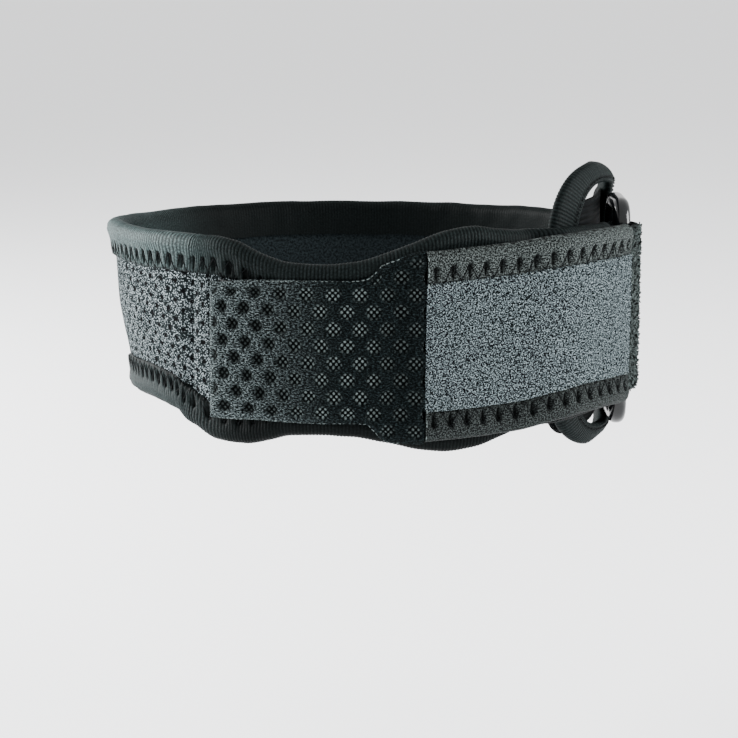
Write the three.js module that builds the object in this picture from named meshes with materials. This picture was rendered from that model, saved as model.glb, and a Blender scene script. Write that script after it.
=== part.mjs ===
// Patella strap: a padded band round an open middle, closed by a pull strap that
// turns through a plastic loop and lies back over the front.
// Millimetres, +Z up, front towards -Y, loop towards +X. The origin is the centre
// of the opening at mid height. Angles are degrees from the front towards the loop.
import * as THREE from 'three';

// The opening that the band goes round
const openingRadius = 57;
const sideLean = 7.4; // degrees that the wall opposite the loop leans out at its top

// Layer thicknesses, and the gap between pieces that touch
const padThickness = 2.4;
const strapThickness = 2.0;
const tapeThickness = 0.7;
const meshThickness = 2.2;
const panelThickness = 0.8;
const rearSwell = 0.7; // how far the rear strap's face swells between its tapes
const patchThickness = 0.7;
const flapThickness = 1.0;
const ringThickness = 3.0;
const anchorThickness = 1.0;
const gap = 0.3;

// Heights of the bands, and widths of the tapes folded over their edges
const rearHeight = 43.5;
const padHeight = 52;
const strapDrop = 8; // how much lower than the pad the pull strap is
const tongueHeight = 33;
const foldHeight = 40.2;
const foldRise = 3.9; // how far the middle of the fold lies above the origin
const padTapeWidth = 9;
const strapTapeWidth = 7.4;
const patchRoom = 0.6; // between the hook patch and the pad's tapes

// Places round the opening, in degrees
const seamAngle = -33;
const seamSlant = 0.12; // degrees that the seam turns for each millimetre of height
const tongueEndAngle = -26.1;
const tongueSlant = 0.085;
const patchLength = 22; // degrees covered by the hook patch
const patchInset = 3; // degrees from the tongue's end to the patch
const panelAngle = 20.9;
const padEndAngle = 48;
const padTapeEndAngle = 72;
const strapTapeEndAngle = 72.8;
const angleGap = 0.4;
const slantRoom = 5; // degrees in which a slanted end straightens
const shoulderAngle = 8; // where the tongue starts to widen
const fullTurn = 360;

// Plastic loop: two upright bars joined by rounded ends
const barDiameter = 4;
const nearBarAngle = 81.5;
const farBarAngle = 98;
const barHover = 2; // how far the strap passes above the guard flap at the near bar
const loopCorner = 4; // radius of the bar's axis at each corner
const loopHeight = 51.7; // between the axes of its top and bottom
const loopRise = 1.65; // how far its middle lies above the origin

// Padded end ring with an oval eyelet
const ringAngle = 83;
const ringRise = 3.9;
const ringSlope = -0.113; // millimetres that the ring drops for each degree
const ringHeight = 69;
const ringSpread = 61; // degrees from its front edge to its back edge
const eyeletHeight = 59;
const eyeletSpread = 41;
const ringSquareness = 3.5;
const ringTuck = 3.2; // how far its top and bottom bend inwards behind the loop
const tuckFrom = 29; // distance from its middle where that bend starts
const tuckRearAngle = 85; // from here on the bend is full
const tuckFrontAngle = 65;

// Guard flap under the eyelet, and the anchor strip round the far bar
const flapHeight = 55.4;
const flapRise = 2.5;
const flapStartAngle = 56;
const flapEndAngle = 108;
const flapCorner = 9;
const anchorHeight = 38;
const anchorRise = 1.5;
const anchorEndAngle = 129;

// How the layers climb: the inner run rises over the ring's front limb
const innerRiseStart = 46;
const innerRiseEnd = 53.5;
const dipStart = 68;
const outerRiseStart = 34;
const outerRiseEnd = 53;
const thinningSpan = 4; // degrees in which the pad thins to the strap
const barRoom = 2; // degrees before the near bar where the strap has settled

const stationStep = 4.4; // degrees between the stations of a band
const runStep = 2.7; // and between those of the pull strap
const rearStep = 6.2; // those of the rear strap
const shoulderStep = 1.2; // those of the tongue's shoulders
const anchorStep = 3; // and those of the anchor strip
const edgeRound = 0.5;
const foldCut = 0.35; // share of a tape's corner that is cut off
const barSides = 10;
const barTurnSteps = 10;
const eyeSteps = 20;
const loopCornerSteps = 5;
const ringStations = 48;

// Places across a padded face, and along a rounded corner, as shares
const swellShares = [0, 0.2, 0.5, 0.8, 1];
const cornerShares = [0, 0.03, 0.12, 0.33, 0.67];

// Section of the ring's limb: rise is a share of its thickness, across a share of its width
const limbSection = [
  { rise: 0, across: 0.08 },
  { rise: 0.35, across: 0 },
  { rise: 0.8, across: 0.1 },
  { rise: 1, across: 0.32 },
  { rise: 1, across: 0.68 },
  { rise: 0.8, across: 0.9 },
  { rise: 0.35, across: 1 },
  { rise: 0, across: 0.92 },
];

// Edges of the rear strap, as shares of its height above and below the origin
const rearEdges = [
  { angle: -33, top: 0.579, bottom: 0.478 },
  { angle: -40, top: 0.576, bottom: 0.42 },
  { angle: -50, top: 0.566, bottom: 0.4 },
  { angle: -64, top: 0.558, bottom: 0.412 },
  { angle: -81, top: 0.524, bottom: 0.476 },
  { angle: -110, top: 0.474, bottom: 0.515 },
  { angle: -180, top: 0.441, bottom: 0.547 },
  { angle: -225, top: 0.469, bottom: 0.52 },
  { angle: -247, top: 0.508, bottom: 0.492 },
];

// Edges of the front pad and the inner run, as shares of the pad's height
const padEdges = [
  { angle: -33, top: 0.485, bottom: 0.404 },
  { angle: -27, top: 0.488, bottom: 0.45 },
  { angle: -20, top: 0.476, bottom: 0.45 },
  { angle: -13, top: 0.418, bottom: 0.418 },
  { angle: -8, top: 0.39, bottom: 0.394 },
  { angle: 0, top: 0.386, bottom: 0.381 },
  { angle: 6, top: 0.395, bottom: 0.385 },
  { angle: 13, top: 0.434, bottom: 0.41 },
  { angle: 20, top: 0.484, bottom: 0.442 },
  { angle: 27, top: 0.53, bottom: 0.463 },
  { angle: 33, top: 0.54, bottom: 0.454 },
  { angle: 39, top: 0.52, bottom: 0.425 },
  { angle: 46, top: 0.508, bottom: 0.392 },
  { angle: 55, top: 0.508, bottom: 0.373 },
  { angle: 72, top: 0.49, bottom: 0.365 },
];

// Edges of the outer run, as shares of the strap's height
const strapEdges = [
  { angle: 20, top: 0.532, bottom: 0.463 },
  { angle: 27, top: 0.541, bottom: 0.457 },
  { angle: 39, top: 0.557, bottom: 0.443 },
  { angle: 48, top: 0.58, bottom: 0.405 },
  { angle: 56, top: 0.586, bottom: 0.387 },
  { angle: 65, top: 0.58, bottom: 0.396 },
  { angle: 76, top: 0.57, bottom: 0.413 },
];

// Edges of the mesh tongue with its two shoulders, as shares of its height
const tongueEdges = [
  { angle: -26, top: 0.459, bottom: 0.527 },
  { angle: -14, top: 0.494, bottom: 0.503 },
  { angle: 0, top: 0.509, bottom: 0.5 },
  { angle: 6, top: 0.512, bottom: 0.494 },
  { angle: 9, top: 0.524, bottom: 0.5 },
  { angle: 10.8, top: 0.564, bottom: 0.552 },
  { angle: 12.4, top: 0.621, bottom: 0.606 },
  { angle: 15, top: 0.652, bottom: 0.633 },
  { angle: 20.9, top: 0.708, bottom: 0.633 },
];

// The strap's height, and the lifts of the layers over the opening's wall
const strapHeight = padHeight - strapDrop;
const tapeAndGap = tapeThickness + gap;
const padTotal = padThickness + 2 * tapeAndGap;
const strapTotal = strapThickness + 2 * tapeAndGap;
const ringLift = flapThickness + gap;
const innerRunLift = ringLift + ringThickness + gap;
const barRadius = barDiameter / 2;
const turnRadius = barRadius + gap;
const innerCoreAtBar = flapThickness + gap + barHover;
const nearBarLift = innerCoreAtBar + strapThickness + turnRadius;
const outerRunLift = Math.max(
  innerRunLift + strapTotal + gap,
  nearBarLift + turnRadius - tapeAndGap,
);
const frontLift = padTotal + gap;
const farBarLift = flapThickness + gap + anchorThickness + turnRadius;

const foldTop = foldRise + foldHeight / 2;
const foldBottom = foldRise - foldHeight / 2;

function radians(degrees) {
  return THREE.MathUtils.degToRad(degrees);
}

function wallLean(angle) {
  return Math.tan(radians(sideLean)) * (1 - Math.sin(radians(angle))) / 2;
}

function wallPoint(angle, lift, height) {
  const radius = openingRadius + lift + height * wallLean(angle);
  const turn = radians(angle);
  return new THREE.Vector3(radius * Math.sin(turn), -radius * Math.cos(turn), height);
}

function ease(from, to, value) {
  return THREE.MathUtils.smoothstep(value, from, to);
}

// Slope of one column of a table at a row, flat where the column turns back
function rowSlope(rows, index, column) {
  const before = rows[index - 1];
  const here = rows[index];
  const after = rows[index + 1];
  if (!before || !after) return 0;
  const fall = (here[column] - before[column]) / (here.angle - before.angle);
  const rise = (after[column] - here[column]) / (after.angle - here.angle);
  return fall * rise <= 0 ? 0 : 2 * fall * rise / (fall + rise);
}

// A column of a table at any angle, by smooth curves between its rows
function readEdge(table, column, angle) {
  const rows = [...table].sort((a, b) => a.angle - b.angle);
  const place = THREE.MathUtils.clamp(angle, rows[0].angle, rows[rows.length - 1].angle);
  let index = rows.findIndex((row) => row.angle >= place) - 1;
  index = Math.max(index, 0);
  const start = rows[index];
  const end = rows[index + 1];
  const span = end.angle - start.angle;
  const t = (place - start.angle) / span;
  const slopeStart = rowSlope(rows, index, column) * span;
  const slopeEnd = rowSlope(rows, index + 1, column) * span;
  const squared = t * t;
  const cubed = squared * t;
  return start[column] * (2 * cubed - 3 * squared + 1) + slopeStart * (cubed - 2 * squared + t)
    + end[column] * (3 * squared - 2 * cubed) + slopeEnd * (cubed - squared);
}

function edgesAt(table, size, angle) {
  return {
    top: size * readEdge(table, 'top', angle),
    bottom: -size * readEdge(table, 'bottom', angle),
  };
}

// Angles from start to end at an even step
function angleSteps(start, end, step = stationStep) {
  const count = Math.max(1, Math.round(Math.abs(end - start) / step));
  return Array.from({ length: count + 1 }, (_, index) => start + (end - start) * index / count);
}

// Triangles that close one end of a band, in the outline's own order or reversed
function capFaces(outline, first, reversed) {
  const points = outline.map(([offset, height]) => new THREE.Vector2(offset, height));
  const forward = !THREE.ShapeUtils.isClockWise(points);
  return THREE.ShapeUtils.triangulateShape([...points], []).map((face) => {
    const same = THREE.ShapeUtils.isClockWise(face.map((index) => points[index])) !== forward;
    const [a, b, c] = face.map((index) => first + index);
    return same !== reversed ? [a, b, c] : [a, c, b];
  });
}

// A closed solid through a row of outlines. Each place turns an outline's point,
// given as [offset, height], into a point in space.
function loftSolid(places, outlines, closed = false) {
  const sides = outlines[0].length;
  const positions = [];
  places.forEach((place, station) => {
    outlines[station].forEach(([offset, height]) => positions.push(...place(offset, height).toArray()));
  });
  const faces = [];
  const spans = closed ? places.length : places.length - 1;
  for (let station = 0; station < spans; station += 1) {
    const next = (station + 1) % places.length;
    for (let side = 0; side < sides; side += 1) {
      const turn = (side + 1) % sides;
      const a = station * sides + side;
      const b = station * sides + turn;
      const c = next * sides + side;
      const d = next * sides + turn;
      faces.push([a, c, d], [a, d, b]);
    }
  }
  if (!closed) {
    faces.push(...capFaces(outlines[0], 0, false));
    faces.push(...capFaces(outlines[spans], spans * sides, true));
  }
  return orientedGeometry(positions, faces);
}

// Turns every face outwards by the sign of the solid's volume
function orientedGeometry(positions, faces) {
  const corner = (index) => new THREE.Vector3().fromArray(positions, index * 3);
  const volume = faces.reduce((sum, [a, b, c]) => sum + corner(a).dot(corner(b).cross(corner(c))), 0);
  const ordered = volume < 0 ? faces.map(([a, b, c]) => [a, c, b]) : faces;
  const geometry = new THREE.BufferGeometry();
  geometry.setAttribute('position', new THREE.Float32BufferAttribute(positions, 3));
  geometry.setIndex(ordered.flat());
  geometry.computeVertexNormals();
  return geometry;
}

// Outline of a flat layer with slightly rounded edges
function bandOutline(inner, thickness, bottom, top) {
  const outer = inner + thickness;
  const cut = Math.min(edgeRound, thickness / 3);
  return [
    [inner, bottom + cut], [inner + cut, bottom], [outer - cut, bottom], [outer, bottom + cut],
    [outer, top - cut], [outer - cut, top], [inner + cut, top], [inner, top - cut],
  ];
}

// Outline of a padded layer whose outer face swells between the tapes on its edges
function paddedOutline(inner, thickness, bottom, top, swell, tapeWidth) {
  const heightAt = (share) => THREE.MathUtils.lerp(bottom + tapeWidth, top - tapeWidth, share);
  const swellAt = (share) => swell * Math.sin(Math.PI * share);
  const flat = bandOutline(inner, thickness, bottom, top);
  const outer = swellShares.map((share) => [inner + thickness + swellAt(share), heightAt(share)]);
  const back = [...swellShares].reverse().map((share) => [inner, heightAt(share)]);
  return [...flat.slice(0, 4), ...outer, ...flat.slice(4), ...back];
}

// Outline of a tape folded over an edge: side is 1 over the top edge, -1 under the bottom one
function tapeOutline(inner, coreThickness, edge, side, width) {
  const total = coreThickness + 2 * tapeAndGap;
  const round = tapeAndGap;
  const cut = round * foldCut;
  const fold = [
    [0, width], [0, round], [cut, cut], [round, 0],
    [total - round, 0], [total - cut, cut], [total, round], [total, width],
    [total - tapeThickness, width], [total - tapeThickness, round], [total - round, tapeThickness],
    [round, tapeThickness], [tapeThickness, round], [tapeThickness, width],
  ];
  return fold.map(([across, down]) => [inner + across, edge - side * down]);
}

// A band round the opening between two angles
function wrapBand(angles, place, outline) {
  return loftSolid(angles.map((angle) => place(angle)), angles.map((angle) => outline(angle)));
}

// Stations that layers lying on each other share, so that their gap stays even
const padAngles = angleSteps(seamAngle + slantRoom, padEndAngle);
const innerRunAngles = angleSteps(padEndAngle, padTapeEndAngle, runStep).slice(1);
const outerRunAngles = angleSteps(panelAngle + angleGap, strapTapeEndAngle, runStep);

function slantedPlace(angle, slant = 0) {
  return (offset, height) => wallPoint(angle + slant * height, offset, height);
}

// Rounded oval of the end ring: turn runs round it, spread and size set how large it is
function ringPoint(turn, spread, size) {
  const squash = (value) => Math.sign(value) * Math.abs(value) ** (2 / ringSquareness);
  const across = squash(Math.cos(turn)) * spread / 2;
  return {
    angle: ringAngle + across,
    height: ringRise + ringSlope * across + squash(Math.sin(turn)) * size / 2,
  };
}

// How far the ring bends inwards at a point of its top or bottom
function tuckAt(angle, height) {
  const middle = ringRise + ringSlope * (angle - ringAngle);
  const past = Math.max(Math.abs(height - middle) - tuckFrom, 0) / (ringHeight / 2 - tuckFrom);
  return ringTuck * past ** 2 * ease(tuckFrontAngle, tuckRearAngle, angle);
}

// Inner face of the inner run and of the outer run, over the opening's wall
function innerLift(angle) {
  const dip = innerRunLift - (innerCoreAtBar - tapeAndGap);
  const climb = innerRunLift * ease(innerRiseStart, innerRiseEnd, angle);
  return climb - dip * ease(dipStart, nearBarAngle - barRoom, angle);
}

function outerLift(angle) {
  return frontLift + (outerRunLift - frontLift) * ease(outerRiseStart, outerRiseEnd, angle);
}

function padCore(angle) {
  const thinning = ease(innerRiseStart - thinningSpan, innerRiseStart, angle);
  return THREE.MathUtils.lerp(padThickness, strapThickness, thinning);
}

function frontPadEdges(angle) {
  return edgesAt(padEdges, padHeight, angle);
}

// The strap narrows to the height of its fold on the way to the near bar
function runEdges(table, size, angle) {
  const wide = edgesAt(table, size, angle);
  const narrow = ease(padTapeEndAngle, nearBarAngle - barRoom, angle);
  return {
    top: THREE.MathUtils.lerp(wide.top - tapeAndGap, foldTop, narrow),
    bottom: THREE.MathUtils.lerp(wide.bottom + tapeAndGap, foldBottom, narrow),
  };
}

function finish(color, roughness) {
  return new THREE.MeshStandardMaterial({ color, roughness, metalness: 0 });
}

const finishes = {
  dottedMesh: finish('#454d50', 0.92),
  ribbedTape: finish('#343b3d', 0.85),
  smoothTape: finish('#3b3d3d', 0.8),
  spacerMesh: finish('#2f3638', 0.9),
  brushedLoop: finish('#7b868b', 0.95),
  hook: finish('#1d2022', 0.7),
  webbing: finish('#202326', 0.75),
  plastic: finish('#15181a', 0.25),
};

const strap = new THREE.Group();

function addPiece(name, geometry, material) {
  const mesh = new THREE.Mesh(geometry, material);
  mesh.name = name;
  strap.add(mesh);
}

// Tapes folded over the top and the bottom edge of a band
function addTapes(name, angles, place, lift, core, edges, width, material) {
  for (const [end, side] of [['top', 1], ['bottom', -1]]) {
    const outline = (angle) => tapeOutline(lift(angle), core(angle), edges(angle)[end], side, width);
    addPiece(`${name}_${end}_binding`, wrapBand(angles, place, outline), material);
  }
}

// Front pad, from the seam to where the inner run takes over
function addFrontPad() {
  const start = seamAngle + angleGap / 2;
  const place = (angle) => slantedPlace(angle, angle === start ? seamSlant : 0);
  const outline = (angle) => {
    const { top, bottom } = frontPadEdges(angle);
    const inner = innerLift(angle) + tapeAndGap;
    return bandOutline(inner, padCore(angle), bottom + tapeAndGap, top - tapeAndGap);
  };
  addPiece('front_pad', wrapBand([start, ...padAngles], place, outline), finishes.dottedMesh);
  const angles = [start, ...padAngles, ...innerRunAngles];
  const width = padTapeWidth;
  addTapes('front_pad', angles, place, innerLift, padCore, frontPadEdges, width, finishes.ribbedTape);
}

// Rear strap, from the seam the long way round to the end ring
function addRearStrap() {
  const start = seamAngle - angleGap / 2;
  const end = ringAngle + ringSpread / 2 + angleGap - fullTurn;
  const edges = (angle) => edgesAt(rearEdges, rearHeight, angle);
  const place = (angle) => slantedPlace(angle, angle === start ? seamSlant : 0);
  const outline = (angle) => {
    const top = edges(angle).top - tapeAndGap;
    const bottom = edges(angle).bottom + tapeAndGap;
    return paddedOutline(tapeAndGap, padThickness, bottom, top, rearSwell, padTapeWidth);
  };
  const angles = [start, ...angleSteps(seamAngle - slantRoom, end, rearStep)];
  addPiece('rear_strap', wrapBand(angles, place, outline), finishes.dottedMesh);
  const lift = () => 0;
  const core = () => padThickness;
  addTapes('rear_strap', angles, place, lift, core, edges, padTapeWidth, finishes.ribbedTape);
}

function barCentre(angle, lift) {
  return wallPoint(angle, lift, 0);
}

// Pull strap: inner run to the near bar, the turn round it, and the outer run back
function addPullStrap() {
  const places = [];
  const outlines = [];
  const addStation = (place, edges) => {
    places.push(place);
    outlines.push(bandOutline(0, strapThickness, edges.bottom, edges.top));
  };
  const toBar = angleSteps(padTapeEndAngle, nearBarAngle, runStep).slice(1);
  for (const angle of [padEndAngle + angleGap, ...innerRunAngles, ...toBar]) {
    const barSide = innerLift(angle) + tapeAndGap + strapThickness;
    const place = (offset, height) => wallPoint(angle, barSide - offset, height);
    addStation(place, runEdges(padEdges, padHeight, angle));
  }
  const centre = barCentre(nearBarAngle, nearBarLift);
  for (let step = 1; step < barTurnSteps; step += 1) {
    const heading = radians(nearBarAngle) + Math.PI * (1 - step / barTurnSteps);
    const place = (offset, height) => new THREE.Vector3(
      centre.x + (turnRadius + offset) * Math.sin(heading),
      centre.y - (turnRadius + offset) * Math.cos(heading),
      height,
    );
    addStation(place, { top: foldTop, bottom: foldBottom });
  }
  const fromBar = angleSteps(nearBarAngle, strapTapeEndAngle, runStep).slice(0, -1);
  for (const angle of [...fromBar, ...[...outerRunAngles].reverse()]) {
    const barSide = outerLift(angle) + tapeAndGap;
    const place = (offset, height) => wallPoint(angle, barSide + offset, height);
    addStation(place, runEdges(strapEdges, strapHeight, angle));
  }
  addPiece('pull_strap', loftSolid(places, outlines), finishes.smoothTape);
  const edges = (angle) => edgesAt(strapEdges, strapHeight, angle);
  const core = () => strapThickness;
  const width = strapTapeWidth;
  addTapes('pull_strap', outerRunAngles, slantedPlace, outerLift, core, edges, width, finishes.smoothTape);
}

// Brushed loop panel on the outer run, between the two tapes
function addLoopPanel() {
  const outline = (angle) => {
    const { top, bottom } = edgesAt(strapEdges, strapHeight, angle);
    const inner = outerLift(angle) + tapeAndGap + strapThickness + gap;
    const inset = strapTapeWidth + gap;
    return bandOutline(inner, panelThickness, bottom + inset, top - inset);
  };
  addPiece('loop_panel', wrapBand(outerRunAngles, slantedPlace, outline), finishes.brushedLoop);
}

// Mesh tongue from the panel's seam to its free end, over the hook patch
function addMeshTongue() {
  const outline = (angle) => {
    const { top, bottom } = edgesAt(tongueEdges, tongueHeight, angle);
    return bandOutline(frontLift, meshThickness, bottom, top);
  };
  const place = (angle) => slantedPlace(angle, angle === tongueEndAngle ? tongueSlant : 0);
  const shoulderEnd = panelAngle - angleGap / 2;
  const angles = [
    tongueEndAngle,
    ...angleSteps(tongueEndAngle + slantRoom, shoulderAngle),
    ...angleSteps(shoulderAngle + shoulderStep, shoulderEnd, shoulderStep),
  ];
  addPiece('mesh_tongue', wrapBand(angles, place, outline), finishes.spacerMesh);
  const patchStart = tongueEndAngle + patchInset;
  const patchLift = tapeAndGap + padThickness + gap;
  const patch = (angle) => {
    const { top, bottom } = frontPadEdges(angle);
    const inset = padTapeWidth + patchRoom;
    return bandOutline(patchLift, patchThickness, bottom + inset, top - inset);
  };
  const patchAngles = angleSteps(patchStart, patchStart + patchLength);
  addPiece('hook_patch', wrapBand(patchAngles, slantedPlace, patch), finishes.hook);
}

// Padded ring round the eyelet, thickest in the middle of its limb
function addEndRing() {
  const limb = limbSection.map(({ rise, across }) => [rise * ringThickness, across]);
  const places = [];
  for (let station = 0; station < ringStations; station += 1) {
    const turn = 2 * Math.PI * station / ringStations;
    const outer = ringPoint(turn, ringSpread, ringHeight);
    const inner = ringPoint(turn, eyeletSpread, eyeletHeight);
    places.push((rise, share) => {
      const angle = THREE.MathUtils.lerp(outer.angle, inner.angle, share);
      const height = THREE.MathUtils.lerp(outer.height, inner.height, share);
      return wallPoint(angle, ringLift + rise - tuckAt(angle, height), height);
    });
  }
  addPiece('end_ring', loftSolid(places, places.map(() => limb), true), finishes.ribbedTape);
}

// Guard flap that closes the eyelet below the plastic loop
function addGuardFlap() {
  const top = flapRise + flapHeight / 2;
  const bottom = flapRise - flapHeight / 2;
  const outline = (angle) => {
    const fromEnd = Math.min(angle - flapStartAngle, flapEndAngle - angle, flapCorner);
    const cut = flapCorner - Math.sqrt(flapCorner ** 2 - (flapCorner - fromEnd) ** 2);
    return bandOutline(0, flapThickness, bottom + cut, top - cut);
  };
  const angles = [
    ...cornerShares.map((share) => flapStartAngle + share * flapCorner),
    ...angleSteps(flapStartAngle + flapCorner, flapEndAngle - flapCorner),
    ...[...cornerShares].reverse().map((share) => flapEndAngle - share * flapCorner),
  ];
  addPiece('guard_flap', wrapBand(angles, slantedPlace, outline), finishes.webbing);
}

// Plastic loop: a round bar along a rounded rectangle through both bar axes
function addBuckleLoop() {
  const near = barCentre(nearBarAngle, nearBarLift);
  const far = barCentre(farBarAngle, farBarLift);
  const across = far.clone().sub(near);
  const width = across.length();
  const along = across.normalize();
  const outward = new THREE.Vector3(-along.y, along.x, 0).negate();
  const top = loopRise + loopHeight / 2;
  const bottom = loopRise - loopHeight / 2;
  const frame = new THREE.Path();
  frame.moveTo(loopCorner, bottom);
  frame.lineTo(width - loopCorner, bottom);
  frame.absarc(width - loopCorner, bottom + loopCorner, loopCorner, -Math.PI / 2, 0);
  frame.lineTo(width, top - loopCorner);
  frame.absarc(width - loopCorner, top - loopCorner, loopCorner, 0, Math.PI / 2);
  frame.lineTo(loopCorner, top);
  frame.absarc(loopCorner, top - loopCorner, loopCorner, Math.PI / 2, Math.PI);
  frame.lineTo(0, bottom + loopCorner);
  frame.absarc(loopCorner, bottom + loopCorner, loopCorner, Math.PI, Math.PI * 1.5);
  const points = frame.getPoints(loopCornerSteps);
  const apart = (point, other) => point.distanceTo(other) > gap;
  const stations = points.filter((point, index) => apart(point, points[(index || points.length) - 1]));
  const section = Array.from({ length: barSides }, (_, side) => {
    const turn = 2 * Math.PI * side / barSides;
    return [barRadius * Math.cos(turn), barRadius * Math.sin(turn)];
  });
  const places = stations.map((point, index) => {
    const before = stations[(index + stations.length - 1) % stations.length];
    const after = stations[(index + 1) % stations.length];
    const ahead = after.clone().sub(point).normalize();
    const tangent = point.clone().sub(before).normalize().add(ahead).normalize();
    return (side, out) => new THREE.Vector3(near.x, near.y, 0)
      .addScaledVector(along, point.x - tangent.y * side)
      .addScaledVector(outward, out)
      .add(new THREE.Vector3(0, 0, point.y + tangent.x * side));
  });
  addPiece('buckle_loop', loftSolid(places, places.map(() => section), true), finishes.plastic);
}

// Anchor strip: folded round the far bar and laid back over the rear strap
function addAnchorStrip() {
  const centre = barCentre(farBarAngle, farBarLift);
  const eyeRadius = turnRadius + anchorThickness;
  const stripInner = padTotal + gap;
  const stripOuter = stripInner + 2 * anchorThickness;
  const out = radians(farBarAngle);
  const around = (turn, radius) => new THREE.Vector2(
    centre.x + radius * (Math.sin(out) * Math.sin(turn) + Math.cos(out) * Math.cos(turn)),
    centre.y + radius * (-Math.cos(out) * Math.sin(turn) + Math.sin(out) * Math.cos(turn)),
  );
  const fromInner = Math.asin((stripInner - farBarLift) / eyeRadius);
  const fromOuter = Math.asin((stripOuter - farBarLift) / eyeRadius);
  const sweep = 2 * Math.PI + fromInner - fromOuter;
  const outline = [];
  for (let step = 0; step <= eyeSteps; step += 1) {
    outline.push(around(fromOuter + sweep * step / eyeSteps, eyeRadius));
  }
  const stripAngles = angleSteps(ringAngle + eyeletSpread / 2, anchorEndAngle, anchorStep);
  const onWall = (angle, lift) => {
    const point = wallPoint(angle, lift, 0);
    return new THREE.Vector2(point.x, point.y);
  };
  outline.push(...stripAngles.map((angle) => onWall(angle, stripInner)));
  outline.push(...[...stripAngles].reverse().map((angle) => onWall(angle, stripOuter)));
  const eye = [];
  for (let step = 0; step < eyeSteps; step += 1) {
    eye.push(around(-2 * Math.PI * step / eyeSteps, turnRadius));
  }
  const shape = new THREE.Shape(outline);
  shape.holes.push(new THREE.Path(eye));
  const geometry = new THREE.ExtrudeGeometry(shape, { depth: anchorHeight, bevelEnabled: false });
  geometry.translate(0, 0, anchorRise - anchorHeight / 2);
  addPiece('anchor_strip', geometry, finishes.webbing);
}

addFrontPad();
addRearStrap();
addPullStrap();
addLoopPanel();
addMeshTongue();
addEndRing();
addGuardFlap();
addBuckleLoop();
addAnchorStrip();

export default strap;
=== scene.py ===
import bisect
import bmesh
import bpy
import math
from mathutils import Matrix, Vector, noise


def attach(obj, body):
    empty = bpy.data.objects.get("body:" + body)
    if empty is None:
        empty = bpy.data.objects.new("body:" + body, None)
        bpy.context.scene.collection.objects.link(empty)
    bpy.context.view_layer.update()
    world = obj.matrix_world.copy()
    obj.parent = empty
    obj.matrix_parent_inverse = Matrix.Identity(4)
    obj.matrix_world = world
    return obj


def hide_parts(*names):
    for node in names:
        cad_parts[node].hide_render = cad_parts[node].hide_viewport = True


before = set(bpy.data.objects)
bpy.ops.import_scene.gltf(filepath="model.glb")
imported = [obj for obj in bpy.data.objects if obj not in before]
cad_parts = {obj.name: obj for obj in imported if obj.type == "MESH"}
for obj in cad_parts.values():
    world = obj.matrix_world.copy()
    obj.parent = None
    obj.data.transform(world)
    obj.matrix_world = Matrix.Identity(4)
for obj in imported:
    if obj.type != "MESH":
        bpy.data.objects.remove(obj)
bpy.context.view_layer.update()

# Lengths are in millimetres and angles in degrees: 0 is the front, the plastic loop is near 90
worn = {
    "openingRadius": 57.0,
    "sideLean": 7.4,
    "seamAngle": -33.0,
    "seamSlant": 0.12,
    "seamGap": 0.05,
    "ribPitch": 0.83,
    "ribDepth": 0.17,
    "zigzagPitch": 4.0,
    "rearZigzagPitch": 3.0,
    "zigzagHeight": 3.7,
    "zigzagDepth": 0.7,
    "zigzagInset": 0.35,
    "threadDiameter": 0.22,
    "innerRadius": 61.0,
    "outerRadius": 66.0,
}

# Edges as (angle, share above, share below) of each band's height
rearEdges = [(-247, .508, .492), (-225, .469, .52), (-180, .441, .547), (-110, .474, .515), (-81, .524, .476),
             (-64, .558, .412), (-50, .566, .4), (-40, .576, .42), (-33, .579, .478)]
padEdges = [(-33, .485, .404), (-27, .488, .45), (-20, .476, .45), (-13, .418, .418), (-8, .39, .394),
            (0, .386, .381), (6, .395, .385), (13, .434, .41), (20, .484, .442), (27, .53, .463),
            (33, .54, .454), (39, .52, .425), (46, .508, .392), (55, .508, .373), (72, .49, .365)]
strapEdges = [(20, .532, .463), (27, .541, .457), (39, .557, .443), (48, .58, .405), (56, .586, .387),
              (65, .58, .396), (76, .57, .413)]
tongueEdges = [(-26, .459, .527), (-14, .494, .503), (0, .509, .5), (6, .512, .494), (9, .524, .5),
               (10.8, .564, .552), (12.4, .621, .606), (15, .652, .633), (20.9, .708, .633)]


# A smooth rise from 0 at start to 1 at end, whichever of them is larger
def smooth(start, end, value):
    t = min(max((value - start) / (end - start), 0.0), 1.0)
    return t * t * (3 - 2 * t)


def wallLean(angle):
    return math.tan(math.radians(worn["sideLean"])) * (1 - math.sin(math.radians(angle))) / 2


def wallPoint(angle, lift, height):
    radius = worn["openingRadius"] + lift + height * wallLean(angle)
    turn = math.radians(angle)
    return Vector((radius * math.sin(turn), -radius * math.cos(turn), height)) / 1000


def outwardAt(angle):
    turn = math.radians(angle)
    return Vector((math.sin(turn), -math.cos(turn), -wallLean(angle))).normalized()


def rowSlope(rows, index, column):
    if index <= 0 or index >= len(rows) - 1:
        return 0.0
    before, here, after = rows[index - 1], rows[index], rows[index + 1]
    fall = (here[column] - before[column]) / (here[0] - before[0])
    rise = (after[column] - here[column]) / (after[0] - here[0])
    return 0.0 if fall * rise <= 0 else 2 * fall * rise / (fall + rise)


def readEdge(rows, column, angle):
    place = min(max(angle, rows[0][0]), rows[-1][0])
    index = max(bisect.bisect_left([row[0] for row in rows], place) - 1, 0)
    span = rows[index + 1][0] - rows[index][0]
    t = (place - rows[index][0]) / span
    slopes = [rowSlope(rows, index + step, column) * span for step in (0, 1)]
    return (rows[index][column] * (2 * t**3 - 3 * t**2 + 1) + slopes[0] * (t**3 - 2 * t**2 + t)
            + rows[index + 1][column] * (3 * t**2 - 2 * t**3) + slopes[1] * (t**3 - t**2))


# The top and bottom border of a band, each as a function of the angle
def bordersOf(rows, size):
    return lambda angle: size * readEdge(rows, 1, angle), lambda angle: -size * readEdge(rows, 2, angle)


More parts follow.
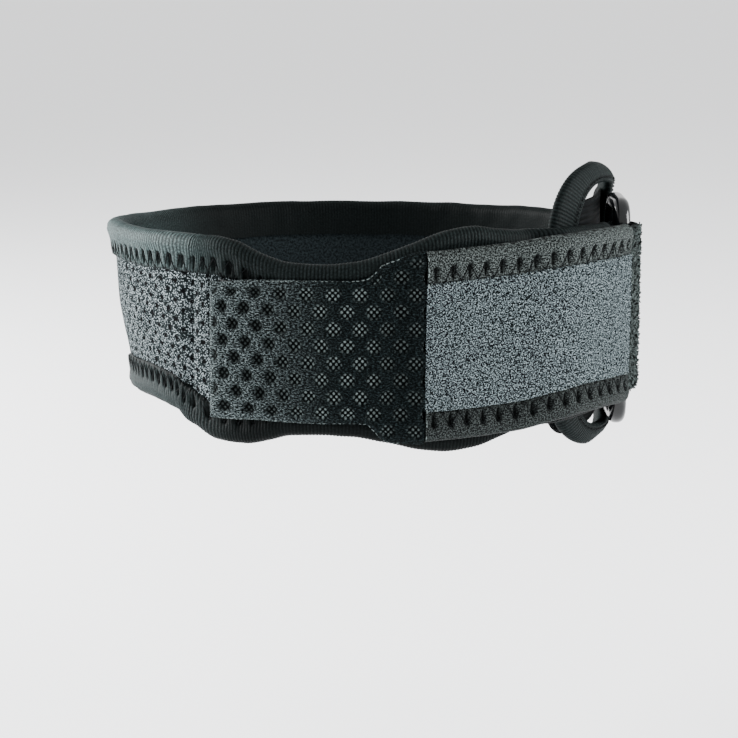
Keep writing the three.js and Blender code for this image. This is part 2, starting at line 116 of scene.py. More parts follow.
def steps(start, end, size):
    count = max(1, round(abs(end - start) / size))
    return [start + (end - start) * index / count for index in range(count + 1)]


def ripple(x, y, z, seed=0.0):
    return noise.noise(Vector((x, y, z + seed)))


def addNode(tree, kind, feeds=None, output=0, **settings):
    node = tree.nodes.new(kind)
    for name, value in settings.items():
        setattr(node, name, value)
    for key, value in (feeds or {}).items():
        if isinstance(value, bpy.types.NodeSocket):
            tree.links.new(value, node.inputs[key])
        else:
            node.inputs[key].default_value = value
    return node.outputs[output] if len(node.outputs) else node


def linearColour(hexValue):
    parts = [int(hexValue[index:index + 2], 16) / 255 for index in (1, 3, 5)]
    return tuple(p / 12.92 if p <= 0.04045 else ((p + 0.055) / 1.055) ** 2.4 for p in parts) + (1.0,)


def startMaterial(name):
    material = bpy.data.materials.new(name)
    material.use_nodes = True
    material.node_tree.nodes.clear()
    return material, material.node_tree


# A material on its piece's own cloth coordinates, in millimetres
def startCloth(name):
    material, tree = startMaterial(name)
    return material, tree, addNode(tree, "ShaderNodeUVMap", uv_map="cloth")


clothGloss = 0.02


# The colour runs from dark to pale by the share of light. Each is a hex value or a socket.
def closeMaterial(tree, light, dark, pale, height, bumpDistance, roughness, gloss=clothGloss):
    dark, pale = [linearColour(shade) if isinstance(shade, str) else shade for shade in (dark, pale)]
    colour = addNode(tree, "ShaderNodeMix", {0: light, 6: dark, 7: pale}, output=2, data_type="RGBA")
    normal = addNode(tree, "ShaderNodeBump",
                     {"Height": height, "Distance": bumpDistance / 1000, "Strength": 1.0})
    shader = addNode(tree, "ShaderNodeBsdfPrincipled",
                     {"Base Color": colour, "Normal": normal, "Roughness": roughness,
                      "Specular IOR Level": gloss})
    addNode(tree, "ShaderNodeOutputMaterial", {"Surface": shader})


# Distance to the nearest dot. Two dots sit in each cell, one in its middle and one at its corners.
def nearestDot(tree, cloth, cell, unit):
    nearest = None
    for shift in (0.0, 0.5):
        scaled = addNode(tree, "ShaderNodeVectorMath",
                         {0: cloth, 1: (1 / cell[0], 1 / cell[1], 0), 2: (shift, shift, 0)},
                         operation="MULTIPLY_ADD")
        inCell = addNode(tree, "ShaderNodeVectorMath", {0: scaled}, operation="FRACTION")
        centred = addNode(tree, "ShaderNodeVectorMath", {0: inCell, 1: (0.5, 0.5, 0)}, operation="SUBTRACT")
        sized = addNode(tree, "ShaderNodeVectorMath", {0: centred, 1: (unit[0], unit[1], 0)},
                        operation="MULTIPLY")
        distance = addNode(tree, "ShaderNodeVectorMath", {0: sized}, output=1, operation="LENGTH")
        nearest = distance if nearest is None else addNode(
            tree, "ShaderNodeMath", {0: nearest, 1: distance}, operation="MINIMUM")
    return nearest


# Air-mesh polyester: matt grey-black yarn loops round small holes
def makeDottedMesh():
    material, tree, cloth = startCloth("polyesterAirMesh")
    yarn = addNode(tree, "ShaderNodeTexNoise",
                   {"Vector": cloth, "Scale": 3.0, "Detail": 3.0, "Roughness": 0.8})
    loops = addNode(tree, "ShaderNodeTexVoronoi", {"Vector": cloth, "Scale": 2.5, "Randomness": 0.8})
    grain = addNode(tree, "ShaderNodeMath", {0: yarn, 1: loops}, operation="SUBTRACT")
    light = addNode(tree, "ShaderNodeMapRange", {0: grain, 1: 0.02, 2: 0.3})
    cell = (4.4, 4.6)
    rim = addNode(tree, "ShaderNodeMapRange",
                  {0: nearestDot(tree, cloth, cell, cell), 1: 0.42, 2: 0.92})
    yarnColour = addNode(tree, "ShaderNodeMix",
                         {0: light, 6: linearColour("#101617"), 7: linearColour("#a9b5b9")},
                         output=2, data_type="RGBA")
    height = addNode(tree, "ShaderNodeMath", {0: rim, 1: 0.9, 2: grain}, operation="MULTIPLY_ADD")
    closeMaterial(tree, rim, "#020304", yarnColour, height, 0.5, 0.9)
    return material


# Polyester spacer mesh: dark pile between hollows, where a lattice of bright yarn shows
def makeSpacerMesh():
    material, tree, cloth = startCloth("polyesterSpacerMesh")
    hollow = addNode(tree, "ShaderNodeAttribute", output=2, attribute_name="hollow")
    drawn = addNode(tree, "ShaderNodeVectorMath", {0: cloth, 1: (1.0, 1.9, 1.0)}, operation="MULTIPLY")
    pile = addNode(tree, "ShaderNodeTexNoise",
                   {"Vector": drawn, "Scale": 1.7, "Detail": 3.0, "Roughness": 0.8})
    fleck = addNode(tree, "ShaderNodeMapRange", {0: pile, 1: 0.49, 2: 0.68})
    along = addNode(tree, "ShaderNodeSeparateXYZ", {0: cloth})
    # Painted light: the pile is painted lighter towards the free end, which is left of the middle, where the
    # light from the left catches it
    paintedLeftLight = addNode(tree, "ShaderNodeMapRange", {0: along, 1: 6.0, 2: -24.0},
                      interpolation_type="SMOOTHSTEP")
    fibre = addNode(tree, "ShaderNodeMix",
                    {0: paintedLeftLight, 6: linearColour("#2a3436"), 7: linearColour("#8b999b")},
                    output=2, data_type="RGBA")
    ground = addNode(tree, "ShaderNodeMix", {0: fleck, 6: linearColour("#040606"), 7: fibre},
                     output=2, data_type="RGBA")
    # the lattice is drawn as coarse as it needs to be to show
    dot = addNode(tree, "ShaderNodeMapRange",
                  {0: nearestDot(tree, cloth, (1.3, 1.5), (1, 1)), 1: 0.3, 2: 0.12})
    # Painted light: the yarn in the hollows is painted bright across the middle of the front only, darker to
    # the left and a little darker to the right
    paintedShadeLeft = addNode(tree, "ShaderNodeMapRange", {0: along, 1: 0.0, 2: -14.0, 3: 1.0, 4: 0.15})
    paintedShadeRight = addNode(tree, "ShaderNodeMapRange", {0: along, 1: 9.0, 2: 14.0, 3: 1.0, 4: 0.45})
    uneven = addNode(tree, "ShaderNodeMapRange", {0: pile, 1: 0.4, 2: 0.6, 3: 0.35, 4: 1.0})
    lit = paintedShadeLeft
    for share in (paintedShadeRight, uneven, dot):
        lit = addNode(tree, "ShaderNodeMath", {0: lit, 1: share}, operation="MULTIPLY")
    lattice = addNode(tree, "ShaderNodeMix", {0: lit, 6: linearColour("#030505"), 7: linearColour("#8b9998")},
                      output=2, data_type="RGBA")
    shown = addNode(tree, "ShaderNodeMath", {0: dot, 1: hollow}, operation="MULTIPLY")
    height = addNode(tree, "ShaderNodeMath", {0: pile, 1: 1.6, 2: shown}, operation="MULTIPLY_ADD")
    closeMaterial(tree, hollow, ground, lattice, height, 0.45, 0.9)
    return material


# Cloths with a single grain: its scale in turns for each millimetre, the part of it that is lit,
# the least light and the pressed depth. A painted cloth also carries painted light and shade along its piece.
grainedCloths = {
    # Ribbed stretch binding: nylon knit with a soft grey-green sheen painted on its ribs and painted shade
    # between them
    "ribbedKnit": {"name": "nylonRibbedBinding", "scale": 2.2, "detail": 2.0, "coarseness": 0.7,
                   "lit": (0.4, 0.6), "least": 0.35, "painted": True, "dark": "#030404", "pale": "#4d5b5b",
                   "bump": 0.12, "roughness": 0.5},
    # Smooth fold-over binding: brushed lycra, dark grey-brown with a fine grain and painted sheen and shade
    # along its piece
    "smoothBinding": {"name": "brushedLycraBinding", "scale": 2.8, "detail": 2.0, "coarseness": 0.8,
                      "lit": (0.47, 0.61), "least": 0.0, "painted": True, "dark": "#020303",
                      "pale": "#545b5a", "bump": 0.3, "roughness": 0.6},
    # Brushed strap knit: black nylon pile with pale flecks
    "strapKnit": {"name": "nylonStrapKnit", "scale": 1.6, "detail": 3.0, "coarseness": 0.8,
                  "lit": (0.48, 0.66), "least": 0.0, "painted": False, "dark": "#020303",
                  "pale": "#343a3a", "bump": 0.4, "roughness": 0.8},
    # Soft lining knit on the inside: black, even and matt
    "lining": {"name": "polyesterLiningKnit", "scale": 1.6, "detail": 3.0, "coarseness": 0.7,
               "lit": (0.38, 0.62), "least": 0.0, "painted": False, "dark": "#070a0b",
               "pale": "#1c2224", "bump": 0.15, "roughness": 0.9},
}


def makeGrainedCloth(look):
    material, tree, cloth = startCloth(look["name"])
    grain = addNode(tree, "ShaderNodeTexNoise",
                    {"Vector": cloth, "Scale": look["scale"], "Detail": look["detail"],
                     "Roughness": look["coarseness"]})
    light = addNode(tree, "ShaderNodeMapRange",
                    {0: grain, 1: look["lit"][0], 2: look["lit"][1], 3: look["least"], 4: 1.0})
    # A painted cloth takes the painted light and shade of its piece
    if look["painted"]:
        paintedShading = addNode(tree, "ShaderNodeAttribute", output=2, attribute_name="paintedShading")
        light = addNode(tree, "ShaderNodeMath", {0: light, 1: paintedShading}, operation="MULTIPLY")
    closeMaterial(tree, light, look["dark"], look["pale"], grain, look["bump"], look["roughness"])
    return material


# Brushed loop fabric: pale grey-blue nylon nap with dark gaps between its loops
def makeBrushedLoop():
    material, tree, cloth = startCloth("nylonBrushedLoop")
    nap = addNode(tree, "ShaderNodeTexNoise",
                  {"Vector": cloth, "Scale": 3.0, "Detail": 2.0, "Roughness": 0.8})
    curls = addNode(tree, "ShaderNodeTexVoronoi", {"Vector": cloth, "Scale": 2.8, "Randomness": 1.0})
    grain = addNode(tree, "ShaderNodeMath", {0: curls, 1: -0.25, 2: nap}, operation="MULTIPLY_ADD")
    light = addNode(tree, "ShaderNodeMapRange", {0: grain, 1: 0.36, 2: 0.52})
    closeMaterial(tree, light, "#030506", "#7d8a8e", grain, 0.45, 0.95)
    return material


# Woven nylon webbing: black ribs crossed by finer weft
def makeWebbing():
    material, tree, cloth = startCloth("nylonWebbing")
    warp, weft = [addNode(tree, "ShaderNodeTexWave", {"Vector": cloth, "Scale": scale, "Distortion": 0.3},
                          bands_direction=way) for way, scale in (("Y", 0.22), ("X", 0.4))]
    weave = addNode(tree, "ShaderNodeMath", {0: warp, 1: weft}, operation="MULTIPLY")
    closeMaterial(tree, weave, "#030404", "#0f1214", weave, 0.25, 0.6)
    return material


# Moulded acetal: glossy black with faint flow marks
def makeAcetal():
    material, tree = startMaterial("mouldedAcetal")
    place = addNode(tree, "ShaderNodeTexCoord", output=3)
    flow = addNode(tree, "ShaderNodeTexNoise", {"Vector": place, "Scale": 900.0, "Detail": 2.0})
    rough = addNode(tree, "ShaderNodeMapRange", {0: flow, 1: 0.3, 2: 0.7, 3: 0.1, 4: 0.2})
    closeMaterial(tree, flow, "#060708", "#0f1113", flow, 0.02, rough, 0.3)
    return material


# Moulded nylon hook tape: rows of stiff hooks, black, with small glints painted on the hook tips
def makeHookTape():
    material, tree, cloth = startCloth("mouldedNylonHook")
    hooks = addNode(tree, "ShaderNodeTexVoronoi", {"Vector": cloth, "Scale": 1.1, "Randomness": 0.15})
    tip = addNode(tree, "ShaderNodeMapRange", {0: hooks, 1: 0.35, 2: 0.05})
    closeMaterial(tree, tip, "#0e1012", "#3a4045", tip, 0.4, 0.45, 0.5)
    return material


# Polyester sewing thread: twisted, with a faint shine. Scale is in turns for each metre.
def makeThread(name, dark, pale, scale):
    material, tree = startMaterial(name)
    place = addNode(tree, "ShaderNodeTexCoord", output=3)
    twist = addNode(tree, "ShaderNodeTexNoise", {"Vector": place, "Scale": scale, "Detail": 1.0})
    light = addNode(tree, "ShaderNodeMapRange", {0: twist, 1: 0.35, 2: 0.65})
    closeMaterial(tree, light, dark, pale, twist, 0.05, 0.5)
    return material


materials = {label: makeGrainedCloth(look) for label, look in grainedCloths.items()}
materials.update({
    "dottedMesh": makeDottedMesh(),
    "spacerMesh": makeSpacerMesh(),
    "brushedLoop": makeBrushedLoop(),
    "webbing": makeWebbing(),
    "acetal": makeAcetal(),
    "hookTape": makeHookTape(),
    "darkThread": makeThread("polyesterThreadBlack", "#030404", "#0f1213", 2500.0),
    "greyThread": makeThread("polyesterThreadGrey", "#0b0d0e", "#6d7776", 1100.0),
    # Loose nylon fibres of the brushed knit
    "pileFibre": makeThread("nylonPileFibre", "#020303", "#4c5453", 900.0),
})
print("materials ready:", len(materials))


def startTree(name, sizes):
    tree = bpy.data.node_groups.new(name, "GeometryNodeTree")
    tree.interface.new_socket("Geometry", in_out="OUTPUT", socket_type="NodeSocketGeometry")
    tree.interface.new_socket("Geometry", in_out="INPUT", socket_type="NodeSocketGeometry")
    for label, value in sizes.items():
        kind = "NodeSocketInt" if isinstance(value, int) else "NodeSocketFloat"
        tree.interface.new_socket(label, in_out="INPUT", socket_type=kind).default_value = value
    tree.interface.new_socket("Material", in_out="INPUT", socket_type="NodeSocketMaterial")
    return tree, tree.nodes.new("NodeGroupInput").outputs


def closeTree(tree, geometry, material):
    real = addNode(tree, "GeometryNodeRealizeInstances", {0: geometry})
    finished = addNode(tree, "GeometryNodeSetMaterial", {"Geometry": real, "Material": material})
    addNode(tree, "NodeGroupOutput", {0: finished})
    return tree


# Ribs across a binding, by each point's distance along it
def makeRibTree():
    tree, given = startTree("ribs", {"Rib pitch": 0.83, "Rib depth": 0.17})
    along, weight, dent = [addNode(tree, "GeometryNodeInputNamedAttribute", {"Name": label},
                                   data_type="FLOAT")
                           for label in ("along", "weight", "dent")]
    sunk = along
    for operation, feeds in (("DIVIDE", {1: given["Rib pitch"]}), ("MULTIPLY", {1: math.pi}), ("SINE", {}),
                             ("ABSOLUTE", {}), ("SUBTRACT", {1: 1.0}), ("MULTIPLY", {1: weight})):
        sunk = addNode(tree, "ShaderNodeMath", {0: sunk, **feeds}, operation=operation)
    depth = addNode(tree, "ShaderNodeMath", {0: sunk, 1: given["Rib depth"]}, operation="MULTIPLY")
    metres = addNode(tree, "ShaderNodeMath", {0: depth, 1: 0.001}, operation="MULTIPLY")
    normal = addNode(tree, "GeometryNodeInputNormal")
    offset = addNode(tree, "ShaderNodeVectorMath", {0: normal, 3: metres}, operation="SCALE")
    moved = addNode(tree, "GeometryNodeSetPosition", {"Geometry": given["Geometry"], "Offset": offset})
    # Painted shade: the rib valleys are darkened, times the painted light and shade each point carries as
    # dent
    lit = addNode(tree, "ShaderNodeMath", {0: sunk, 1: 1.0}, operation="ADD")
    shade = addNode(tree, "ShaderNodeMath", {0: lit, 1: dent}, operation="MULTIPLY")
    stored = addNode(tree, "GeometryNodeStoreNamedAttribute",
                     {"Geometry": moved, "Name": "paintedShading", "Value": shade},
                     data_type="FLOAT", domain="POINT")
    return closeTree(tree, stored, given["Material"])


# Round hollows in staggered rows
def makeDimpleTree():
    tree, given = startTree("dimples", {"Column spacing": 5.95, "Row spacing": 3.94, "Column shift": -3.2,
                                        "Row shift": 13.8, "Hollow width": 3.4, "Hollow depth": 0.7})
    along, across, weight = [addNode(tree, "GeometryNodeInputNamedAttribute", {"Name": label},
                                     data_type="FLOAT")
                             for label in ("along", "across", "weight")]
    along, across = [addNode(tree, "ShaderNodeMath", {0: place, 1: given[shift]}, operation="SUBTRACT")
                     for place, shift in ((along, "Column shift"), (across, "Row shift"))]
    pair = addNode(tree, "ShaderNodeMath", {0: given["Row spacing"], 1: 2.0}, operation="MULTIPLY")
    nearest = None
    for shift in (0.0, 0.5):
        squares = []
        for place, pitch in ((along, given["Column spacing"]), (across, pair)):
            offset = place
            for operation, feeds in (("DIVIDE", {1: pitch}), ("ADD", {1: shift + 100}), ("FRACT", {}),
                                     ("SUBTRACT", {1: 0.5}), ("MULTIPLY", {1: pitch})):
                offset = addNode(tree, "ShaderNodeMath", {0: offset, **feeds}, operation=operation)
            squares.append(addNode(tree, "ShaderNodeMath", {0: offset, 1: offset}, operation="MULTIPLY"))
        total = addNode(tree, "ShaderNodeMath", {0: squares[0], 1: squares[1]}, operation="ADD")
        distance = addNode(tree, "ShaderNodeMath", {0: total}, operation="SQRT")
        nearest = distance if nearest is None else addNode(
            tree, "ShaderNodeMath", {0: nearest, 1: distance}, operation="MINIMUM")
    rim = addNode(tree, "ShaderNodeMath", {0: given["Hollow width"], 1: 0.58}, operation="MULTIPLY")
    floor = addNode(tree, "ShaderNodeMath", {0: given["Hollow width"], 1: 0.3}, operation="MULTIPLY")
    shape = addNode(tree, "ShaderNodeMapRange", {0: nearest, 1: floor, 2: rim, 3: 1.0, 4: 0.0},
                    interpolation_type="SMOOTHSTEP")
    hollow = addNode(tree, "ShaderNodeMath", {0: shape, 1: weight}, operation="MULTIPLY")
    depth = addNode(tree, "ShaderNodeMath", {0: hollow, 1: given["Hollow depth"]}, operation="MULTIPLY")
    metres = addNode(tree, "ShaderNodeMath", {0: depth, 1: -0.001}, operation="MULTIPLY")
    normal = addNode(tree, "GeometryNodeInputNormal")
    offset = addNode(tree, "ShaderNodeVectorMath", {0: normal, 3: metres}, operation="SCALE")
    moved = addNode(tree, "GeometryNodeSetPosition", {"Geometry": given["Geometry"], "Offset": offset})
    stored = addNode(tree, "GeometryNodeStoreNamedAttribute",
                     {"Geometry": moved, "Name": "hollow", "Value": hollow},
                     data_type="FLOAT", domain="POINT")
    return closeTree(tree, stored, given["Material"])


# One short thread at each point, turned one way and the other in turns
def makeStitchTree():
    tree, given = startTree("stitches", {"Stitch length": 4.0, "Even turn": 0.0, "Odd turn": 0.0,
                                         "Thread diameter": 0.42,
                                         "Arch": 0.15})
    start, end = [addNode(tree, "ShaderNodeCombineXYZ", {0: addNode(
        tree, "ShaderNodeMath", {0: given["Stitch length"], 1: half}, operation="MULTIPLY")})
                  for half in (-0.0005, 0.0005)]
    line = addNode(tree, "GeometryNodeCurvePrimitiveLine", {"Start": start, "End": end})
    bent = addNode(tree, "GeometryNodeResampleCurve", {"Curve": line, "Count": 6})
    share = addNode(tree, "GeometryNodeSplineParameter")
    rest = addNode(tree, "ShaderNodeMath", {0: 1.0, 1: share}, operation="SUBTRACT")
    bow = addNode(tree, "ShaderNodeMath", {0: share, 1: rest}, operation="MULTIPLY")
    rise = addNode(tree, "ShaderNodeMath", {0: bow, 1: given["Arch"]}, operation="MULTIPLY")
    riseMetres = addNode(tree, "ShaderNodeMath", {0: rise, 1: 0.004}, operation="MULTIPLY")
    up = addNode(tree, "ShaderNodeCombineXYZ", {2: riseMetres})
    arched = addNode(tree, "GeometryNodeSetPosition", {"Geometry": bent, "Offset": up})
    radius = addNode(tree, "ShaderNodeMath", {0: given["Thread diameter"], 1: 0.0005}, operation="MULTIPLY")
    profile = addNode(tree, "GeometryNodeCurvePrimitiveCircle", {"Resolution": 6, "Radius": radius})
    thread = addNode(tree, "GeometryNodeCurveToMesh",
                     {"Curve": arched, "Profile Curve": profile, "Fill Caps": True})
    outward, tangent = [addNode(tree, "GeometryNodeInputNamedAttribute", {"Name": label},
                                data_type="FLOAT_VECTOR")
                        for label in ("outward", "tangent")]
    facing = addNode(tree, "FunctionNodeAxesToRotation", {0: outward, 1: tangent}, primary_axis="Z",
                     secondary_axis="X")
    index = addNode(tree, "GeometryNodeInputIndex")
    parity = addNode(tree, "ShaderNodeMath", {0: index, 1: 2.0}, operation="MODULO")
    turn = addNode(tree, "ShaderNodeMix", {0: parity, 2: given["Even turn"], 3: given["Odd turn"]},
                   data_type="FLOAT")
    radians = addNode(tree, "ShaderNodeMath", {0: turn}, operation="RADIANS")
    swing = addNode(tree, "FunctionNodeAxisAngleToRotation", {"Axis": (0.0, 0.0, 1.0), "Angle": radians})
    rotation = addNode(tree, "FunctionNodeRotateRotation", {0: facing, 1: swing}, rotation_space="LOCAL")
    placed = addNode(tree, "GeometryNodeInstanceOnPoints",
                     {"Points": given["Geometry"], "Instance": thread, "Rotation": rotation})
    return closeTree(tree, placed, given["Material"])


# Short curled fibres scattered over a face
def makePileTree():
    tree, given = startTree("pile", {"Fibres per square millimetre": 3.0, "Fibre length": 0.7,
                                     "Fibre thickness": 0.14,
                                     "Seed": 7})
    density = addNode(tree, "ShaderNodeMath", {0: given["Fibres per square millimetre"], 1: 1e6},
                      operation="MULTIPLY")
    weight = addNode(tree, "GeometryNodeInputNamedAttribute", {"Name": "weight"}, data_type="FLOAT")
    facing = addNode(tree, "ShaderNodeMath", {0: weight, 1: 0.5}, operation="GREATER_THAN")
    scatter = tree.nodes.new("GeometryNodeDistributePointsOnFaces")
    tree.links.new(given["Geometry"], scatter.inputs["Mesh"])
    tree.links.new(facing, scatter.inputs["Selection"])
    tree.links.new(density, scatter.inputs["Density"])
    tree.links.new(given["Seed"], scatter.inputs["Seed"])
    height = addNode(tree, "ShaderNodeMath", {0: given["Fibre length"], 1: 0.001}, operation="MULTIPLY")
    tip = addNode(tree, "ShaderNodeCombineXYZ", {0: height, 2: height})
    middle = addNode(tree, "ShaderNodeCombineXYZ", {2: height})
    curl = addNode(tree, "GeometryNodeCurveQuadraticBezier", {"Resolution": 2, "Middle": middle, "End": tip,
                                                              "Start": (0.0, 0.0, 0.0)})
    radius = addNode(tree, "ShaderNodeMath", {0: given["Fibre thickness"], 1: 0.0005}, operation="MULTIPLY")
    profile = addNode(tree, "GeometryNodeCurvePrimitiveCircle", {"Resolution": 3, "Radius": radius})
    fibre = addNode(tree, "GeometryNodeCurveToMesh",
                    {"Curve": curl, "Profile Curve": profile, "Fill Caps": True})
    swing = addNode(tree, "FunctionNodeRandomValue",
                    {0: (-0.7, -0.7, -3.14), 1: (0.7, 0.7, 3.14), "Seed": given["Seed"]},
                    data_type="FLOAT_VECTOR")
    turned = addNode(tree, "FunctionNodeRotateRotation", {0: scatter.outputs["Rotation"], 1: swing},
                     rotation_space="LOCAL")
    size = addNode(tree, "FunctionNodeRandomValue", {2: 0.6, 3: 1.3, "Seed": given["Seed"]}, output=1,
                   data_type="FLOAT")
    placed = addNode(tree, "GeometryNodeInstanceOnPoints",
                     {"Points": scatter.outputs["Points"], "Instance": fibre,
                      "Rotation": turned, "Scale": size})
    return closeTree(tree, placed, given["Material"])


trees = {"ribs": makeRibTree(), "dimples": makeDimpleTree(), "stitches": makeStitchTree(),
         "pile": makePileTree()}
print("geometry node trees ready:", len(trees))


def applyTree(piece, treeName, sizes, material):
    modifier = piece.modifiers.new(treeName, "NODES")
    modifier.node_group = trees[treeName]
    values = dict(sizes, Material=material)
    for item in trees[treeName].interface.items_tree:
        if item.in_out == "INPUT" and item.name in values:
            modifier[item.identifier] = values[item.name]
    bpy.context.view_layer.update()
    depsgraph = bpy.context.evaluated_depsgraph_get()
    mesh = bpy.data.meshes.new_from_object(piece.evaluated_get(depsgraph), depsgraph=depsgraph)
    piece.modifiers.remove(modifier)
    piece.data = mesh
    return piece


def addObject(name, mesh):
    piece = bpy.data.objects.new(name, mesh)
    bpy.context.scene.collection.objects.link(piece)
    return piece


# A closed skin through rows of points. Each point is (place, distance across, weight, painted light and
# shade), the last kept as the attribute dent.
def skinPiece(name, stations, along, pieceMaterials, loopAlong=False, insideFrom=None, sharp=50):
    around = len(stations[0])
    count = len(stations)
    faces, corners, inside = [], [], []
    for i in range(count if loopAlong else count - 1):
        n = (i + 1) % count
        nextAlong = along[n] if n else along[-1] + (along[-1] - along[-2])
        for j in range(around):
            k = (j + 1) % around
            faces.append((i * around + j, n * around + j, n * around + k, i * around + k))
            here, there = stations[i][j][1], stations[n][j][1]
            hereNext, thereNext = (stations[i][k][1], stations[n][k][1]) if k else (here + 1, there + 1)
            corners += [along[i], here, nextAlong, there, nextAlong, thereNext, along[i], hereNext]
            inside.append(1 if insideFrom is not None and j >= insideFrom else 0)
    if not loopAlong:
        for i in (0, count - 1):
            faces.append(tuple(i * around + j for j in range(around)))
            for j in range(around):
                corners += [along[i] + stations[i][j][0].x * 50, stations[i][j][1]]
            inside.append(0)
    mesh = bpy.data.meshes.new(name)
    mesh.from_pydata([point[0] for row in stations for point in row], [], faces)
    layer = mesh.uv_layers.new(name="cloth")
    layer.data.foreach_set("uv", corners)
    values = {"along": [along[i] for i in range(count) for _ in range(around)],
              "across": [point[1] for row in stations for point in row],
              "weight": [point[2] for row in stations for point in row],
              "dent": [point[3] for row in stations for point in row]}
    for label, numbers in values.items():
        mesh.attributes.new(label, "FLOAT", "POINT").data.foreach_set("value", numbers)
    for material in pieceMaterials:
        mesh.materials.append(material)
    mesh.polygons.foreach_set("material_index", inside)
    shell = bmesh.new()
    shell.from_mesh(mesh)
    bmesh.ops.recalc_face_normals(shell, faces=shell.faces)
    shell.to_mesh(mesh)
    shell.free()
    mesh.shade_smooth()
    mesh.set_sharp_from_angle(angle=math.radians(sharp))
    return addObject(name, mesh)


def settle(piece, nodes, slotName):
    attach(piece, "root")
    if nodes:
        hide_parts(*nodes)
    print("made", piece.name, len(piece.data.polygons), "faces")


def alongAt(angle, radius=worn["innerRadius"]):
    return math.radians(angle) * radius


# A stitch's place, the way out from the wall there and the way along
def stitchAt(place, angle, ahead):
    here = place(angle)
    return here, outwardAt(angle), (place(angle + ahead) - here).normalized()


def stitchPiece(name, points, sizes, material, slotName):
    mesh = bpy.data.meshes.new(name)
    mesh.from_pydata([point[0] for point in points], [], [])
    for label, column in (("outward", 1), ("tangent", 2)):
        numbers = [value for point in points for value in point[column]]
        mesh.attributes.new(label, "FLOAT_VECTOR", "POINT").data.foreach_set("vector", numbers)
    settle(applyTree(addObject(name, mesh), "stitches", sizes, material), [], slotName)


# Pull of the zigzag seam on a binding: how deep it is, by distance along and from the free border
def zigzagDent(distance, fromBorder, pitch):
    height = worn["zigzagHeight"]
    phase = (distance / pitch) % 1
    line = worn["zigzagInset"] + height * (1 - abs(2 * phase - 1))
    off = abs(fromBorder - line) / math.hypot(1, 2 * height / pitch)
    groove = 0.16 * math.exp(-((off / 0.4) ** 2))
    sideways = (phase - 0.5) * pitch / (0.34 + 0.26 * min(fromBorder / height, 1))
    reach = smooth(0.3, 1.4, fromBorder) * (1 - smooth(height, height + 0.7, fromBorder))
    notch = math.exp(-sideways ** 2) * reach
    tuck = 0.55 * math.exp(-((fromBorder / 0.5) ** 2))
    return groove + worn["zigzagDepth"] * notch + tuck


bindings = {
    "skin": 0.7,
    "room": 2.0,
    "roll": 0.4,
    "step": 0.21,
    "legStep": 0.42,
    "innerLegSteps": 6,
    "arcSteps": 8,
    "turnSteps": 4,
    "puckerPitch": 5.0,
    # Painted shade on a binding's inside faces
    "insideShade": 0.2,
}


# A binding folded over an edge: side is 1 over the top edge and -1 under the bottom edge
def buildBinding(name, node, angles, tape, edge, side):
    stations, along = [], []
    ribs = 1.0 if tape["ribDepth"] > 0 else 0.0
    skin, inside = bindings["skin"], bindings["insideShade"]
    legSteps = round((tape["width"] - bindings["room"]) / bindings["legStep"])
    for angle in angles:
        # Painted sheen along the band, less on the lower binding
        paintedSheen = tape["sheen"](angle) * (1.0 if side > 0 else tape["lowerSheen"])
        distance = alongAt(angle, tape["radius"])
        total = tape["core"](angle) + bindings["room"]
        bend = total / 2
        leg = tape["width"] - bend
        row = []
        for index in range(legSteps):
            fromBorder = leg * index / legSteps
            down = tape["width"] - fromBorder
            dent = zigzagDent(distance, fromBorder, tape["pitch"])
            roll = bindings["roll"] * math.exp(-(((down - 2.7) / 1.5) ** 2))
            swell = math.sin(2 * math.pi * distance / bindings["puckerPitch"])
            fold = tape["pucker"](angle) * swell * math.exp(-(((down - 6) / 1.8) ** 2))
            # Painted shade in the zigzag groove and in the pucker folds
            shade = paintedSheen * max(0.08, 1 - 1.45 * dent - max(0.0, -1.5 * fold))
            row.append((total - dent + roll + fold, down, ribs, shade))
        # Round the fold the painted sheen fades towards its inner side
        for index in range(bindings["arcSteps"] + 1):
            turn = math.pi * index / bindings["arcSteps"]
            bulge = bindings["roll"] * 0.6 * max(0.0, math.cos(turn))
            row.append((bend + bend * math.cos(turn) + bulge, bend - bend * math.sin(turn), ribs,
                        paintedSheen * (0.65 + 0.35 * math.cos(turn))))
        # The inner leg has a third of the painted sheen, and the inside faces the painted shade of
        # insideShade
        for index in range(1, bindings["innerLegSteps"] + 1):
            row.append((0.0, bend + leg * index / bindings["innerLegSteps"], 0.6 * ribs, 0.3 * paintedSheen))
        for index in range(bindings["innerLegSteps"], 0, -2):
            row.append((skin, bend + leg * index / bindings["innerLegSteps"], 0.0, inside))
        for index in range(bindings["turnSteps"] + 1):
            turn = math.pi * (1 - index / bindings["turnSteps"])
            row.append((bend + (bend - skin) * math.cos(turn), bend - (bend - skin) * math.sin(turn), 0.0,
                        inside))
        for fromBorder in [leg * share for share in (0.75, 0.5, 0.25, 0.0)]:
            dent = zigzagDent(distance, fromBorder, tape["pitch"])
            row.append((total - skin - dent, tape["width"] - fromBorder, 0.0, inside))
        placed = []
        wobble = 0.22 * ripple(distance / 7, side * 3, 0.3)
        for offset, down, weight, shade in row:
            height = edge(angle) - side * (down - wobble)
            soft = 0.16 * ripple(distance / 4, height / 4, offset / 9, 4.0)
            place = wallPoint(angle + tape["slant"](angle) * height, tape["lift"](angle) + offset + soft,
                              height)
            placed.append((place, down, weight, shade))
        stations.append(placed)
        along.append(distance)
    piece = skinPiece(name, stations, along, [tape["material"]])
    applyTree(piece, "ribs", {"Rib pitch": worn["ribPitch"], "Rib depth": tape["ribDepth"]}, tape["material"])
    settle(piece, [node], tape["slot"])


